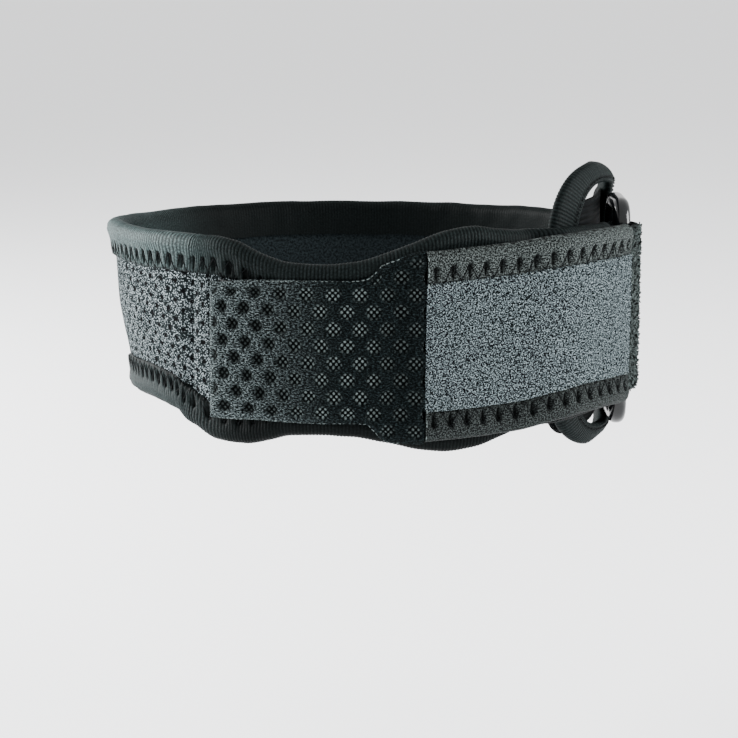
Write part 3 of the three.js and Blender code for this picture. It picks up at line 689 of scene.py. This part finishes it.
# The zigzag seam's two leaning rows of threads, laid in the groove
def buildZigzag(name, start, end, tape, edge, side):
    height, pitch, radius = worn["zigzagHeight"], tape["pitch"], tape["radius"]
    first = math.ceil(alongAt(start, radius) / pitch)
    last = math.floor(alongAt(end, radius) / pitch)

    def place(angle):
        level = edge(angle) - side * (tape["width"] - worn["zigzagInset"] - height / 2)
        surface = tape["lift"](angle) + tape["core"](angle) + bindings["room"] - worn["threadDiameter"]
        return wallPoint(angle + tape["slant"](angle) * level, surface, level)

    angles = [math.degrees(pitch * (first + 0.25 + index / 2) / radius)
              for index in range(2 * (last - first))]
    lean = math.degrees(math.atan2(height, pitch / 2)) * side
    sizes = {"Stitch length": math.hypot(height, pitch / 2) * 1.02, "Even turn": lean, "Odd turn": -lean,
             "Thread diameter": worn["threadDiameter"], "Arch": 0.12}
    stitchPiece(name, [stitchAt(place, angle, 0.4) for angle in angles], sizes, materials["darkThread"],
                tape["slot"])


# Small stitches just outside a binding's free border
def buildBorderStitches(name, start, end, tape, edge, side):
    def place(angle):
        return wallPoint(angle, tape["lift"](angle) + tape["stitchLift"],
                         edge(angle) - side * (tape["width"] + 0.1))

    sizes = {"Stitch length": 0.8, "Even turn": 35.0, "Odd turn": -15.0, "Thread diameter": 0.34,
             "Arch": 0.15}
    points = [stitchAt(place, angle, 0.3) for angle in steps(start, end, 1.3)]
    stitchPiece(name, points, sizes, materials["greyThread"], tape["slot"])


# The two bindings of a band, each with its seam, from start to end
def buildTapes(label, tape, borders, start, end, seamStart, seamEnd):
    angles = steps(start, end, bindings["step"] * 360 / (2 * math.pi * tape["radius"]))
    for part, edge, side in zip(("Top", "Bottom"), borders, (1, -1)):
        buildBinding(f"{label}{part}Binding", f"{tape['node']}_{part.lower()}_binding", angles, tape, edge,
                     side)
        buildZigzag(f"{label}{part}Zigzag", seamStart, seamEnd, tape, edge, side)
        if tape["stitchLift"]:
            buildBorderStitches(f"{label}{part}BorderStitches", seamStart + 0.6, seamEnd, tape, edge, side)


# Painted sheen: the knit is painted lightest where the band turns from the left side to the front, where the
# light from the left falls
def knitSheen(angle):
    return 0.14 + 0.86 * smooth(-18, -44, angle) * (1 - smooth(-100, -130, angle))


def seamSlantAt(angle):
    return worn["seamSlant"] * (1 - smooth(0, 9, abs(angle - worn["seamAngle"])))


# The cloth is drawn in along the seam at the left
def seamCrease(angle):
    return 0.9 * (1 - smooth(0, 2.6, abs(angle - worn["seamAngle"])))


# Points round a padded section: outer face first, from bottom to top, then the inner face
def paddedRow(place, bottom, top, inner, thickness, outerSteps, innerSteps, rise, bunching=0.35):
    row = []
    half = thickness / 2
    for face, count in ((1, outerSteps), (-1, innerSteps)):
        for index in range(count + 1):
            bunched = 0.5 - 0.5 * math.cos(math.pi * index / count)
            share = bunching * bunched + (1 - bunching) * index / count
            height = bottom + (top - bottom) * (share if face > 0 else 1 - share)
            near = min(height - bottom, top - height, half) / half
            bulge = half * math.sqrt(max(0.0, 1 - (1 - near) ** 2))
            offset = inner + half + face * bulge + (rise(height) if face > 0 else 0.0)
            row.append((place(offset, height), height, 1.0 if face > 0 else 0.0, 1.0))
    return row


# A band along the wall. At each angle its section is slant, bottom, top, inner lift, thickness and rise.
def buildBand(name, angles, section, outerSteps, innerSteps, pieceMaterials, radius=worn["innerRadius"]):
    stations = []
    for angle in angles:
        slant, bottom, top, inner, thickness, rise = section(angle)

        def place(offset, height):
            return wallPoint(angle + slant * height, offset, height)

        stations.append(paddedRow(place, bottom, top, inner, thickness, outerSteps, innerSteps, rise))
    along = [alongAt(angle, radius) for angle in angles]
    insideFrom = outerSteps + 1 if len(pieceMaterials) > 1 else None
    return skinPiece(name, stations, along, pieceMaterials, insideFrom=insideFrom)


# What the ribbed bindings of the rear strap and the front pad share
ribbedTape = {
    "slant": seamSlantAt,
    "radius": worn["innerRadius"],
    # Painted sheen by angle, and painted shade on the lower bindings
    "sheen": knitSheen,
    "lowerSheen": 0.32,
    "pucker": lambda angle: 0.0,
    "stitchLift": None,
    "material": materials["ribbedKnit"],
    "slot": "ribbed_tape",
}

# Rear strap: air mesh outside, soft lining inside, swelling between its bindings
rearStrap = {
    "height": 43.5,
    "thickness": 2.4,
    "inner": 1.0,
    "swell": 0.75,
    "bindingWidth": 9.0,
    "end": -246.4,
    "step": 0.9,
    "outerSteps": 44,
    "innerSteps": 16,
}


rearBorders = rearTop, rearBottom = bordersOf(rearEdges, rearStrap["height"])


def rearSection(angle):
    bottom, top = rearBottom(angle) + 1.0, rearTop(angle) - 1.0

    def rise(height):
        free = math.sin(math.pi * min(max((height - bottom - 7) / (top - bottom - 14), 0), 1))
        soft = 0.18 * ripple(alongAt(angle) / 7, height / 6, 1.7)
        return rearStrap["swell"] * free + soft - seamCrease(angle)

    return seamSlantAt(angle), bottom, top, rearStrap["inner"], rearStrap["thickness"], rise


def buildRearStrap():
    angles = steps(worn["seamAngle"] - worn["seamGap"], rearStrap["end"], rearStrap["step"])
    piece = buildBand("rearStrap", angles, rearSection, rearStrap["outerSteps"], rearStrap["innerSteps"],
                      [materials["dottedMesh"], materials["lining"]])
    settle(piece, ["rear_strap"], "dotted_mesh")
    tape = dict(ribbedTape, node="rear_strap", lift=lambda angle: 0.0,
                core=lambda angle: rearStrap["thickness"],
                width=rearStrap["bindingWidth"], ribDepth=worn["ribDepth"] / 2, pitch=worn["rearZigzagPitch"])
    buildTapes("rear", tape, rearBorders, worn["seamAngle"] - worn["seamGap"], rearStrap["end"],
               rearStrap["end"], worn["seamAngle"] - 0.5)


# Layers of the front: pad, inner run and outer run, as they climb over each other
layers = {
    "padHeight": 52.0,
    "strapHeight": 44.0,
    "padEnd": 48.0,
    "padStep": 0.8,
    "padOuterSteps": 44,
    "padInnerSteps": 16,
    "padTapeEnd": 72.0,
    "padThickness": 2.4,
    "strapThickness": 2.0,
    "frontLift": 4.7,
    "innerRunLift": 4.6,
    "outerRunLift": 8.9,
    "barDip": 2.3,
    "padBinding": 9.0,
    "strapBinding": 7.4,
    "foldTop": 24.0,
    "foldBottom": -16.2,
    "tapeEndAngle": 72.9,
    "nearBarAngle": 81.5,
    "farBarAngle": 98.0,
    "nearBarLift": 7.6,
    "farBarLift": 4.6,
    "turnRadius": 2.3,
}

padBorders = padTop, padBottom = bordersOf(padEdges, layers["padHeight"])
strapBorders = strapTop, strapBottom = bordersOf(strapEdges, layers["strapHeight"])


def innerLift(angle):
    return layers["innerRunLift"] * smooth(46, 53.5, angle) - layers["barDip"] * smooth(68, 79.5, angle)


def outerLift(angle):
    return layers["frontLift"] + (layers["outerRunLift"] - layers["frontLift"]) * smooth(34, 53, angle)


def padCore(angle):
    change = layers["strapThickness"] - layers["padThickness"]
    return layers["padThickness"] + change * smooth(42, 46, angle)


# The front bindings pucker beside the tongue
def puckerAt(angle):
    return 0.3 * smooth(-26, -20, angle) * (1 - smooth(14, 20, angle))


def padSection(angle):
    bottom, top = padBottom(angle) + 1.0, padTop(angle) - 1.0

    def rise(height):
        puff = 0.5 * (1 - smooth(-28, -24, angle)) * smooth(6, 9, min(height - bottom, top - height))
        return puff + 0.14 * ripple(alongAt(angle) / 4, height / 3.5, 5.1) - seamCrease(angle)

    return seamSlantAt(angle), bottom, top, innerLift(angle) + 1.0, padCore(angle), rise


def buildFrontPad():
    angles = steps(worn["seamAngle"] + worn["seamGap"], layers["padEnd"], layers["padStep"])
    piece = buildBand("frontPad", angles, padSection, layers["padOuterSteps"], layers["padInnerSteps"],
                      [materials["dottedMesh"], materials["lining"]])
    settle(piece, ["front_pad"], "dotted_mesh")
    tape = dict(ribbedTape, node="front_pad", lift=innerLift, core=padCore, width=layers["padBinding"],
                ribDepth=worn["ribDepth"], pitch=worn["zigzagPitch"], pucker=puckerAt)
    buildTapes("front", tape, padBorders, worn["seamAngle"] + worn["seamGap"], layers["padTapeEnd"],
               worn["seamAngle"] + 0.5, layers["padTapeEnd"])


# Pull strap: the inner run, the turn round the near bar and the outer run, in brushed knit
pullStrap = {
    "step": 0.8,
    "start": 48.3,
    "end": 21.2,
    "tapeStart": 21.0,
    "turnSteps": 28,
    "sectionSteps": 60,
    "backSteps": 30,
    "bump": 0.42,
}


def runEdges(top, bottom, angle):
    narrow = smooth(72, 79.5, angle)
    return ((top(angle) - 1.0) * (1 - narrow) + layers["foldTop"] * narrow,
            (bottom(angle) + 1.0) * (1 - narrow) + layers["foldBottom"] * narrow)


def buildPullStrap():
    thickness = layers["strapThickness"]
    route = []
    for angle in steps(pullStrap["start"], layers["nearBarAngle"], pullStrap["step"])[:-1]:
        side = innerLift(angle) + 1.0 + thickness
        route.append((lambda offset, height, a=angle, s=side: wallPoint(a, s - offset, height),
                      runEdges(padTop, padBottom, angle)))
    centre = wallPoint(layers["nearBarAngle"], layers["nearBarLift"], 0) * 1000
    for index in range(pullStrap["turnSteps"] + 1):
        heading = math.radians(layers["nearBarAngle"]) + math.pi * (1 - index / pullStrap["turnSteps"])

        def turned(offset, height, h=heading):
            reach = layers["turnRadius"] + offset
            return Vector((centre.x + reach * math.sin(h), centre.y - reach * math.cos(h), height)) / 1000

        route.append((turned, (layers["foldTop"], layers["foldBottom"])))
    for angle in steps(layers["nearBarAngle"], pullStrap["end"], pullStrap["step"])[1:]:
        side = outerLift(angle) + 1.0
        route.append((lambda offset, height, a=angle, s=side: wallPoint(a, s + offset, height),
                      runEdges(strapTop, strapBottom, angle)))
    stations, along, distance, last = [], [], 0.0, None
    for place, (top, bottom) in route:
        here = place(thickness, 0.0)
        distance += (here - last).length * 1000 if last else 0.0
        last = here

        def rise(height):
            return pullStrap["bump"] * ripple(distance / 0.9, height / 0.9, 2.0)

        stations.append(paddedRow(place, bottom, top, 0.0, thickness, pullStrap["sectionSteps"],
                                  pullStrap["backSteps"], rise, 0.3))
        along.append(distance)
    piece = skinPiece("pullStrap", stations, along, [materials["strapKnit"]])
    settle(piece, ["pull_strap"], "strap_fabric")
    # The strap's lower binding carries half the painted sheen of the top one, as painted shade
    tape = {"node": "pull_strap", "slant": lambda angle: 0.0, "lift": outerLift,
            "core": lambda angle: thickness,
            "width": layers["strapBinding"], "radius": worn["outerRadius"], "ribDepth": 0.0,
            "sheen": lambda angle: 1.0, "lowerSheen": 0.5, "material": materials["smoothBinding"],
            "slot": "smooth_tape", "pitch": worn["zigzagPitch"], "pucker": lambda angle: 0.0,
            "stitchLift": 3.75}
    buildTapes("strap", tape, strapBorders, pullStrap["tapeStart"], layers["tapeEndAngle"],
               pullStrap["tapeStart"], layers["tapeEndAngle"])


# Fuzz of the brushed knit where it turns round the bar
def buildFoldPile():
    fold = {"from": 73.3, "step": 0.5, "perMillimetre": 6.0, "length": 0.5, "thickness": 0.3}
    centre = wallPoint(layers["nearBarAngle"], layers["nearBarLift"], 0) * 1000
    places = []
    for angle in steps(fold["from"], layers["nearBarAngle"], fold["step"]):
        places.append(lambda height, a=angle: wallPoint(a, outerLift(a) + 2.9, height))
    for index in range(1, 15):
        heading = math.radians(layers["nearBarAngle"] + 180 * index / 14)
        reach = layers["turnRadius"] + layers["strapThickness"] - 0.1
        places.append(lambda height, h=heading, r=reach: Vector(
            (centre.x + r * math.sin(h), centre.y - r * math.cos(h), height)) / 1000)
    heights = steps(layers["foldBottom"] + 0.5, layers["foldTop"] - 0.5, 1.2)
    verts = [place(height) for place in places for height in heights]
    count = len(heights)
    faces = [(i * count + j, (i + 1) * count + j, (i + 1) * count + j + 1, i * count + j + 1)
             for i in range(len(places) - 1) for j in range(count - 1)]
    mesh = bpy.data.meshes.new("foldPile")
    mesh.from_pydata(verts, [], faces)
    mesh.attributes.new("weight", "FLOAT", "POINT").data.foreach_set("value", [1.0] * len(verts))
    piece = addObject("foldPile", mesh)
    mesh.uv_layers.new(name="cloth")
    sizes = {"Fibres per square millimetre": fold["perMillimetre"], "Fibre length": fold["length"],
             "Fibre thickness": fold["thickness"], "Seed": 11}
    applyTree(piece, "pile", sizes, materials["pileFibre"])
    settle(piece, [], "strap_fabric")


# Brushed panel between the bindings of the outer run
def buildLoopPanel():
    panel = {"start": 20.8, "end": layers["tapeEndAngle"], "thickness": 1.1, "lift": 3.0, "nap": 0.2,
             "inset": 7.15}

    def section(angle):
        distance = alongAt(angle, worn["outerRadius"])

        def rise(height):
            return (panel["nap"] * ripple(distance / 0.8, height / 0.8, 3.3)
                    + 0.1 * ripple(distance / 6, height / 6, 8.1))

        return (0.0, strapBottom(angle) + panel["inset"], strapTop(angle) - panel["inset"],
                outerLift(angle) + panel["lift"], panel["thickness"], rise)

    piece = buildBand("loopPanel", steps(panel["start"], panel["end"], 0.3), section, 90, 8,
                      [materials["brushedLoop"]], worn["outerRadius"])
    settle(piece, ["loop_panel"], "brushed_loop")


# Spacer mesh tongue with its hollows, thin at its cut edges
tongue = {
    "height": 33.0,
    "start": -26.1,
    "slant": 0.085,
    "end": 20.8,
    "thickness": 2.2,
    "columnSpacing": 5.95,
    "rowSpacing": 3.94,
    "columnShift": -3.2,
    "rowShift": 13.8,
    "hollowWidth": 3.4,
    "hollowDepth": 0.75,
    "seamRise": 1.7,
    "radius": 63.0,
    "stitchLift": 0.75,
    "jointAngle": 21.1,
    "jointLift": 4.2,
}


tongueTop, tongueBottom = bordersOf(tongueEdges, tongue["height"])


def tongueSlantAt(angle):
    return tongue["slant"] * (1 - smooth(0, 8, angle - tongue["start"]))


def buildTongue():
    stations, along = [], []
    for angle in steps(tongue["start"], tongue["end"], 0.27):
        bottom, top = tongueBottom(angle), tongueTop(angle)
        fromEnd = (angle - tongue["start"]) * 1.1
        climb = tongue["seamRise"] * smooth(15.5, 20.5, angle)
        row = []
        for face, count in ((1, 120), (-1, 12)):
            for index in range(count + 1):
                share = index / count if face > 0 else 1 - index / count
                height = bottom + (top - bottom) * share
                rim = min(height - bottom, top - height, fromEnd)
                full = 0.28 + 0.72 * math.sqrt(smooth(0, 2.6, rim))
                soft = 0.2 * ripple(alongAt(angle, tongue["radius"]) / 5, height / 5, 6.4)
                raised = tongue["thickness"] * full + soft + climb if face > 0 else 0.0
                inner = smooth(0.6, 1.8, rim) if face > 0 else 0.0
                place = wallPoint(angle + tongueSlantAt(angle) * height, layers["frontLift"] + raised, height)
                row.append((place, height, inner, 1.0))
        stations.append(row)
        along.append(alongAt(angle, tongue["radius"]))
    piece = skinPiece("meshTongue", stations, along, [materials["spacerMesh"]])
    sizes = {"Column spacing": tongue["columnSpacing"], "Row spacing": tongue["rowSpacing"],
             "Column shift": tongue["columnShift"], "Row shift": tongue["rowShift"],
             "Hollow width": tongue["hollowWidth"], "Hollow depth": tongue["hollowDepth"]}
    applyTree(piece, "dimples", sizes, materials["spacerMesh"])
    settle(piece, ["mesh_tongue"], "spacer_mesh")
    points = []
    for edge, side in ((tongueTop, 1), (tongueBottom, -1)):
        angle = tongue["start"] + 1.5
        while angle < tongue["end"] - 0.5:
            here, ahead = [wallPoint(near, layers["frontLift"] + tongue["stitchLift"],
                                     edge(near) - side * 0.25)
                           for near in (angle, angle + 0.3)]
            points.append((here, outwardAt(angle), (ahead - here).normalized()))
            angle += 1.15 / max(1.0, (ahead - here).length * 1000 / 0.3)
    bottom, top, joint = strapBottom(21), strapTop(21), tongue["jointAngle"]
    for height in steps(bottom + 1.5, bottom + 7.5, 1.1) + steps(top - 7.5, top - 1.5, 1.1):
        place = wallPoint(joint, layers["frontLift"] + tongue["jointLift"], height)
        points.append((place, outwardAt(joint), Vector((0, 0, 1))))
    sizes = {"Stitch length": 0.8, "Even turn": 8.0, "Odd turn": -8.0, "Thread diameter": 0.24, "Arch": 0.05}
    stitchPiece("tongueEdgeStitches", points, sizes, materials["greyThread"], "spacer_mesh")


def buildHookPatch():
    patch = {"start": -23.1, "length": 22.0, "lift": 3.7, "thickness": 0.7, "inset": 9.6}

    def section(angle):
        bottom, top = padBottom(angle) + patch["inset"], padTop(angle) - patch["inset"]
        return 0.0, bottom, top, patch["lift"], patch["thickness"], lambda height: 0.0

    angles = steps(patch["start"], patch["start"] + patch["length"], 0.8)
    settle(buildBand("hookPatch", angles, section, 16, 6, [materials["hookTape"]]), ["hook_patch"], "hook")


# Padded end ring round its oval eyelet, bound in ribbed knit with a seam round the eyelet
endRing = {
    "angle": 83.0,
    "rise": 3.9,
    "slope": -0.113,
    "height": 69.0,
    "spread": 61.0,
    "eyeletHeight": 59.0,
    "eyeletSpread": 41.0,
    "squareness": 3.5,
    "lift": 1.3,
    "thickness": 3.0,
    "puff": 0.7,
    "stations": 1050,
    "sides": 22,
    "stitches": 104,
    "seamShare": 0.72,
    "tuck": 3.2,
    "tuckFrom": 29.0,
    "sheen": 0.12,
}


def ringPoint(turn, spread, size):
    power = 2 / endRing["squareness"]
    across = math.copysign(abs(math.cos(turn)) ** power, math.cos(turn)) * spread / 2
    rise = math.copysign(abs(math.sin(turn)) ** power, math.sin(turn)) * size / 2
    return endRing["angle"] + across, endRing["rise"] + endRing["slope"] * across + rise


# The ring bends inwards at its top and bottom, behind the loop
def ringPlace(turn, share, rise):
    outer = ringPoint(turn, endRing["spread"], endRing["height"])
    inner = ringPoint(turn, endRing["eyeletSpread"], endRing["eyeletHeight"])
    angle, height = [before + (after - before) * share for before, after in zip(outer, inner)]
    middle = endRing["rise"] + endRing["slope"] * (angle - endRing["angle"])
    past = max(abs(height - middle) - endRing["tuckFrom"], 0) / (endRing["height"] / 2 - endRing["tuckFrom"])
    return wallPoint(angle, endRing["lift"] + rise - endRing["tuck"] * past ** 2 * smooth(65, 85, angle),
                     height)


# Turns that divide the ring's middle line evenly, with the line's length
def evenTurns(share, rise, count):
    fine = 2400
    places = [ringPlace(2 * math.pi * index / fine, share, rise) for index in range(fine + 1)]
    total = [0.0]
    for before, after in zip(places, places[1:]):
        total.append(total[-1] + (after - before).length * 1000)
    turns, index = [], 0
    for number in range(count):
        goal = total[-1] * number / count
        while total[index + 1] < goal:
            index += 1
        part = (goal - total[index]) / max(total[index + 1] - total[index], 1e-9)
        turns.append(2 * math.pi * (index + part) / fine)
    return turns, total[-1]


def buildEndRing():
    count = endRing["stations"]
    turns, length = evenTurns(0.5, endRing["thickness"], count)
    ribs = round(length / worn["ribPitch"])
    stations, along = [], []
    for number, turn in enumerate(turns):
        row = []
        for side in range(endRing["sides"]):
            way = 2 * math.pi * side / endRing["sides"]
            share = 0.5 - 0.5 * math.copysign(abs(math.cos(way)) ** 0.85, math.cos(way))
            rise = 0.5 + 0.5 * math.copysign(abs(math.sin(way)) ** 0.75, math.sin(way))
            groove = 0.45 * math.exp(-(((share - endRing["seamShare"]) / 0.06) ** 2)) if rise > 0.5 else 0.0
            puff = endRing["puff"] * (rise - 0.5) if rise > 0.5 else 0.0
            lift = rise * endRing["thickness"] + puff - groove
            # Painted shade: the ring gets little painted sheen, less still in its seam groove
            row.append((ringPlace(turn, share, lift), share * 10, 1.0, endRing["sheen"] * (1 - groove)))
        stations.append(row)
        along.append(number / count * ribs * worn["ribPitch"])
    piece = skinPiece("endRing", stations, along, [materials["ribbedKnit"]], loopAlong=True)
    sizes = {"Rib pitch": worn["ribPitch"], "Rib depth": worn["ribDepth"]}
    applyTree(piece, "ribs", sizes, materials["ribbedKnit"])
    settle(piece, ["end_ring"], "ribbed_tape")
    points = []
    for turn in evenTurns(endRing["seamShare"], endRing["thickness"], endRing["stitches"])[0]:
        here, ahead = [ringPlace(near, endRing["seamShare"], endRing["thickness"] + 0.12)
                       for near in (turn, turn + 0.01)]
        points.append((here, outwardAt(ringPoint(turn, 51, 64)[0]), (ahead - here).normalized()))
    sizes = {"Stitch length": 0.9, "Even turn": 4.0, "Odd turn": -4.0, "Thread diameter": 0.3, "Arch": 0.2}
    stitchPiece("ringStitches", points, sizes, materials["darkThread"], "ribbed_tape")


def buildGuardFlap():
    flap = {"start": 56.0, "end": 108.0, "height": 55.4, "rise": 2.5, "thickness": 1.0, "corner": 9.0,
            "step": 0.7}
    ends = [flap["corner"] * share for share in (0, 0.02, 0.06, 0.13, 0.22, 0.34, 0.48, 0.64, 0.81, 1)]
    past = flap["corner"] + flap["step"]
    middle = steps(flap["start"] + past, flap["end"] - past, flap["step"])
    angles = [flap["start"] + step for step in ends] + middle
    angles += [flap["end"] - step for step in reversed(ends)]

    def section(angle):
        fromEnd = min(angle - flap["start"], flap["end"] - angle, flap["corner"])
        cut = flap["corner"] - math.sqrt(flap["corner"] ** 2 - (flap["corner"] - fromEnd) ** 2)
        top = flap["rise"] + flap["height"] / 2 - cut
        bottom = flap["rise"] - flap["height"] / 2 + cut
        return 0.0, bottom, top, 0.0, flap["thickness"], lambda height: 0.1 * ripple(
            alongAt(angle) / 5, height / 5, 9.0)

    settle(buildBand("guardFlap", angles, section, 40, 20, [materials["webbing"]]), ["guard_flap"], "webbing")


# Plastic loop: a slightly flattened bar along a rounded rectangle
def buildLoop():
    loop = {"bar": 4.2, "corner": 4.0, "height": 51.7, "rise": 1.65, "sides": 28, "cornerSteps": 12,
            "flat": 0.9}
    near = wallPoint(layers["nearBarAngle"], layers["nearBarLift"], 0) * 1000
    far = wallPoint(layers["farBarAngle"], layers["farBarLift"], 0) * 1000
    width = (far - near).length
    sideways = (far - near).normalized()
    outward = Vector((sideways.y, -sideways.x, 0))
    top, bottom = loop["rise"] + loop["height"] / 2, loop["rise"] - loop["height"] / 2
    r = loop["corner"]
    path = []
    for cx, cy, start in ((width - r, bottom + r, -90), (width - r, top - r, 0), (r, top - r, 90),
                          (r, bottom + r, 180)):
        for index in range(loop["cornerSteps"] + 1):
            turn = math.radians(start + 90 * index / loop["cornerSteps"])
            path.append((cx + r * math.cos(turn), cy + r * math.sin(turn), math.cos(turn), math.sin(turn)))
    stations, along, distance = [], [], 0.0
    for index, (x, y, nx, ny) in enumerate(path):
        before = path[index - 1]
        distance += math.hypot(x - before[0], y - before[1]) if index else 0.0
        row = []
        for side in range(loop["sides"]):
            turn = 2 * math.pi * side / loop["sides"]
            out = loop["bar"] / 2 * math.copysign(abs(math.sin(turn)) ** loop["flat"], math.sin(turn))
            across = loop["bar"] / 2 * math.copysign(abs(math.cos(turn)) ** loop["flat"], math.cos(turn))
            point = near + sideways * (x + nx * across) + outward * out
            point.z = y + ny * across
            row.append((point / 1000, side * 0.45, 1.0, 1.0))
        stations.append(row)
        along.append(distance)
    piece = skinPiece("buckleLoop", stations, along, [materials["acetal"]], loopAlong=True, sharp=80)
    settle(piece, ["buckle_loop"], "loop_plastic")


# Anchor strip: webbing that comes back over the rear strap after its turn round the far bar
def buildAnchorStrip():
    anchor = {"height": 38.0, "rise": 1.5, "thickness": 1.0, "level": 107, "end": 129.0, "lower": 5.2,
              "upper": 6.2, "wall": 0.47}
    line = [(angle, anchor["lower"]) for angle in steps(anchor["end"], anchor["level"], 2.0)]
    line += [(104.5, 4.7), (102.3, 3.3)]
    points = [wallPoint(angle, lift, 0).xy * 1000 for angle, lift in line]
    centre = wallPoint(layers["farBarAngle"], layers["farBarLift"], 0).xy * 1000
    out = math.radians(layers["farBarAngle"])
    reach = layers["turnRadius"] + anchor["thickness"] / 2
    for local in range(-50, -310, -20):
        turn = math.radians(local)
        across = math.sin(out) * math.sin(turn) + math.cos(out) * math.cos(turn)
        deep = -math.cos(out) * math.sin(turn) + math.sin(out) * math.cos(turn)
        points.append(centre + reach * Vector((across, deep)))
    line = [(102.6, 6.9), (104.8, 6.4)]
    line += [(angle, anchor["upper"]) for angle in steps(anchor["level"], anchor["end"], 2.0)]
    points += [wallPoint(angle, lift, 0).xy * 1000 for angle, lift in line]
    for _ in range(2):
        cut = [points[0]]
        for before, after in zip(points, points[1:]):
            cut += [before * 0.75 + after * 0.25, before * 0.25 + after * 0.75]
        points = cut + [points[-1]]
    bottom, top = anchor["rise"] - anchor["height"] / 2, anchor["rise"] + anchor["height"] / 2
    stations, along, distance = [], [], 0.0
    for index, point in enumerate(points):
        before, after = points[max(index - 1, 0)], points[min(index + 1, len(points) - 1)]
        heading = (after - before).normalized()
        side = Vector((heading.y, -heading.x))
        distance += (point - before).length
        row = []
        for face, count in ((1, 24), (-1, 24)):
            for number in range(count + 1):
                share = number / count if face > 0 else 1 - number / count
                height = bottom + (top - bottom) * share
                near = min(height - bottom, top - height, 0.5) / 0.5
                spot = point + side * face * anchor["wall"] * math.sqrt(max(0.0, 1 - (1 - near) ** 2))
                row.append((Vector((spot.x, spot.y, height)) / 1000, height, 1.0, 1.0))
        stations.append(row)
        along.append(distance)
    piece = skinPiece("anchorStrip", stations, along, [materials["webbing"]])
    settle(piece, ["anchor_strip"], "webbing")
    points = []
    for angle in (109.5, 111.0, 124.5, 126.0):
        for height in steps(bottom + 2, top - 2, 2.4):
            here = wallPoint(angle, anchor["upper"] + 0.55, height)
            points.append((here, outwardAt(angle), Vector((0, 0, 1))))
    sizes = {"Stitch length": 2.0, "Even turn": 3.0, "Odd turn": -3.0, "Thread diameter": 0.4, "Arch": 0.15}
    stitchPiece("anchorStitches", points, sizes, materials["greyThread"], "webbing")


def buildCamera():
    view = {"azimuth": 9.0, "elevation": 11.5, "distance": 0.563, "aim": Vector((0.0007, 0.0, -0.016)),
            "lens": 108.49}
    turn, rise = math.radians(view["azimuth"]), math.radians(view["elevation"])
    back = Vector((math.sin(turn) * math.cos(rise), -math.cos(turn) * math.cos(rise), math.sin(rise)))
    camera = bpy.data.objects.new("camera", bpy.data.cameras.new("camera"))
    camera.data.lens = view["lens"]
    camera.data.sensor_width = 36
    camera.location = view["aim"] + back * view["distance"]
    camera.rotation_mode = "QUATERNION"
    camera.rotation_quaternion = (-back).to_track_quat("-Z", "Y")
    camera.data.clip_start = 0.01
    bpy.context.scene.collection.objects.link(camera)
    bpy.context.scene.camera = camera


def buildStudio():
    studio = {
        "floorHeight": -0.11,
        "floorSize": 60.0,
        "background": ("#ffffff", 1.5),
        "lights": [("leftSoftbox", (-0.8, 0.1, 0.2), 0.6, 40.0),
                   ("rightSoftbox", (0.85, 0.0, 0.22), 0.5, 20.0)],
    }
    size, level = studio["floorSize"] / 2, studio["floorHeight"]
    mesh = bpy.data.meshes.new("floor")
    mesh.from_pydata([(-size, -size, level), (size, -size, level), (size, size, level), (-size, size, level)],
                     [], [(0, 1, 2, 3)])
    material, tree = startMaterial("paleStudioFloor")
    grain = addNode(tree, "ShaderNodeTexNoise", {"Scale": 4.0})
    closeMaterial(tree, grain, "#f6f7f9", "#fbfcfd", grain, 0.01, 0.8, 0.5)
    mesh.materials.append(material)
    addObject("floor", mesh)
    for name, place, width, power in studio["lights"]:
        light = bpy.data.lights.new(name, "AREA")
        light.shape = "SQUARE"
        light.size = width
        light.energy = power
        lamp = addObject(name, light)
        lamp.location = place
        lamp.rotation_mode = "QUATERNION"
        lamp.rotation_quaternion = (-Vector(place)).to_track_quat("-Z", "Y")
    world = bpy.data.worlds.new("studio")
    bpy.context.scene.world = world
    world.use_nodes = True
    world.node_tree.nodes.clear()
    colourHex, strength = studio["background"]
    shade = addNode(world.node_tree, "ShaderNodeBackground",
                    {"Color": linearColour(colourHex), "Strength": strength})
    addNode(world.node_tree, "ShaderNodeOutputWorld", {"Surface": shade})


buildCamera()
buildStudio()
print("camera and studio ready")
buildRearStrap()
buildFrontPad()
buildPullStrap()
buildFoldPile()
buildLoopPanel()
buildTongue()
buildHookPatch()
buildEndRing()
buildGuardFlap()
buildLoop()
buildAnchorStrip()
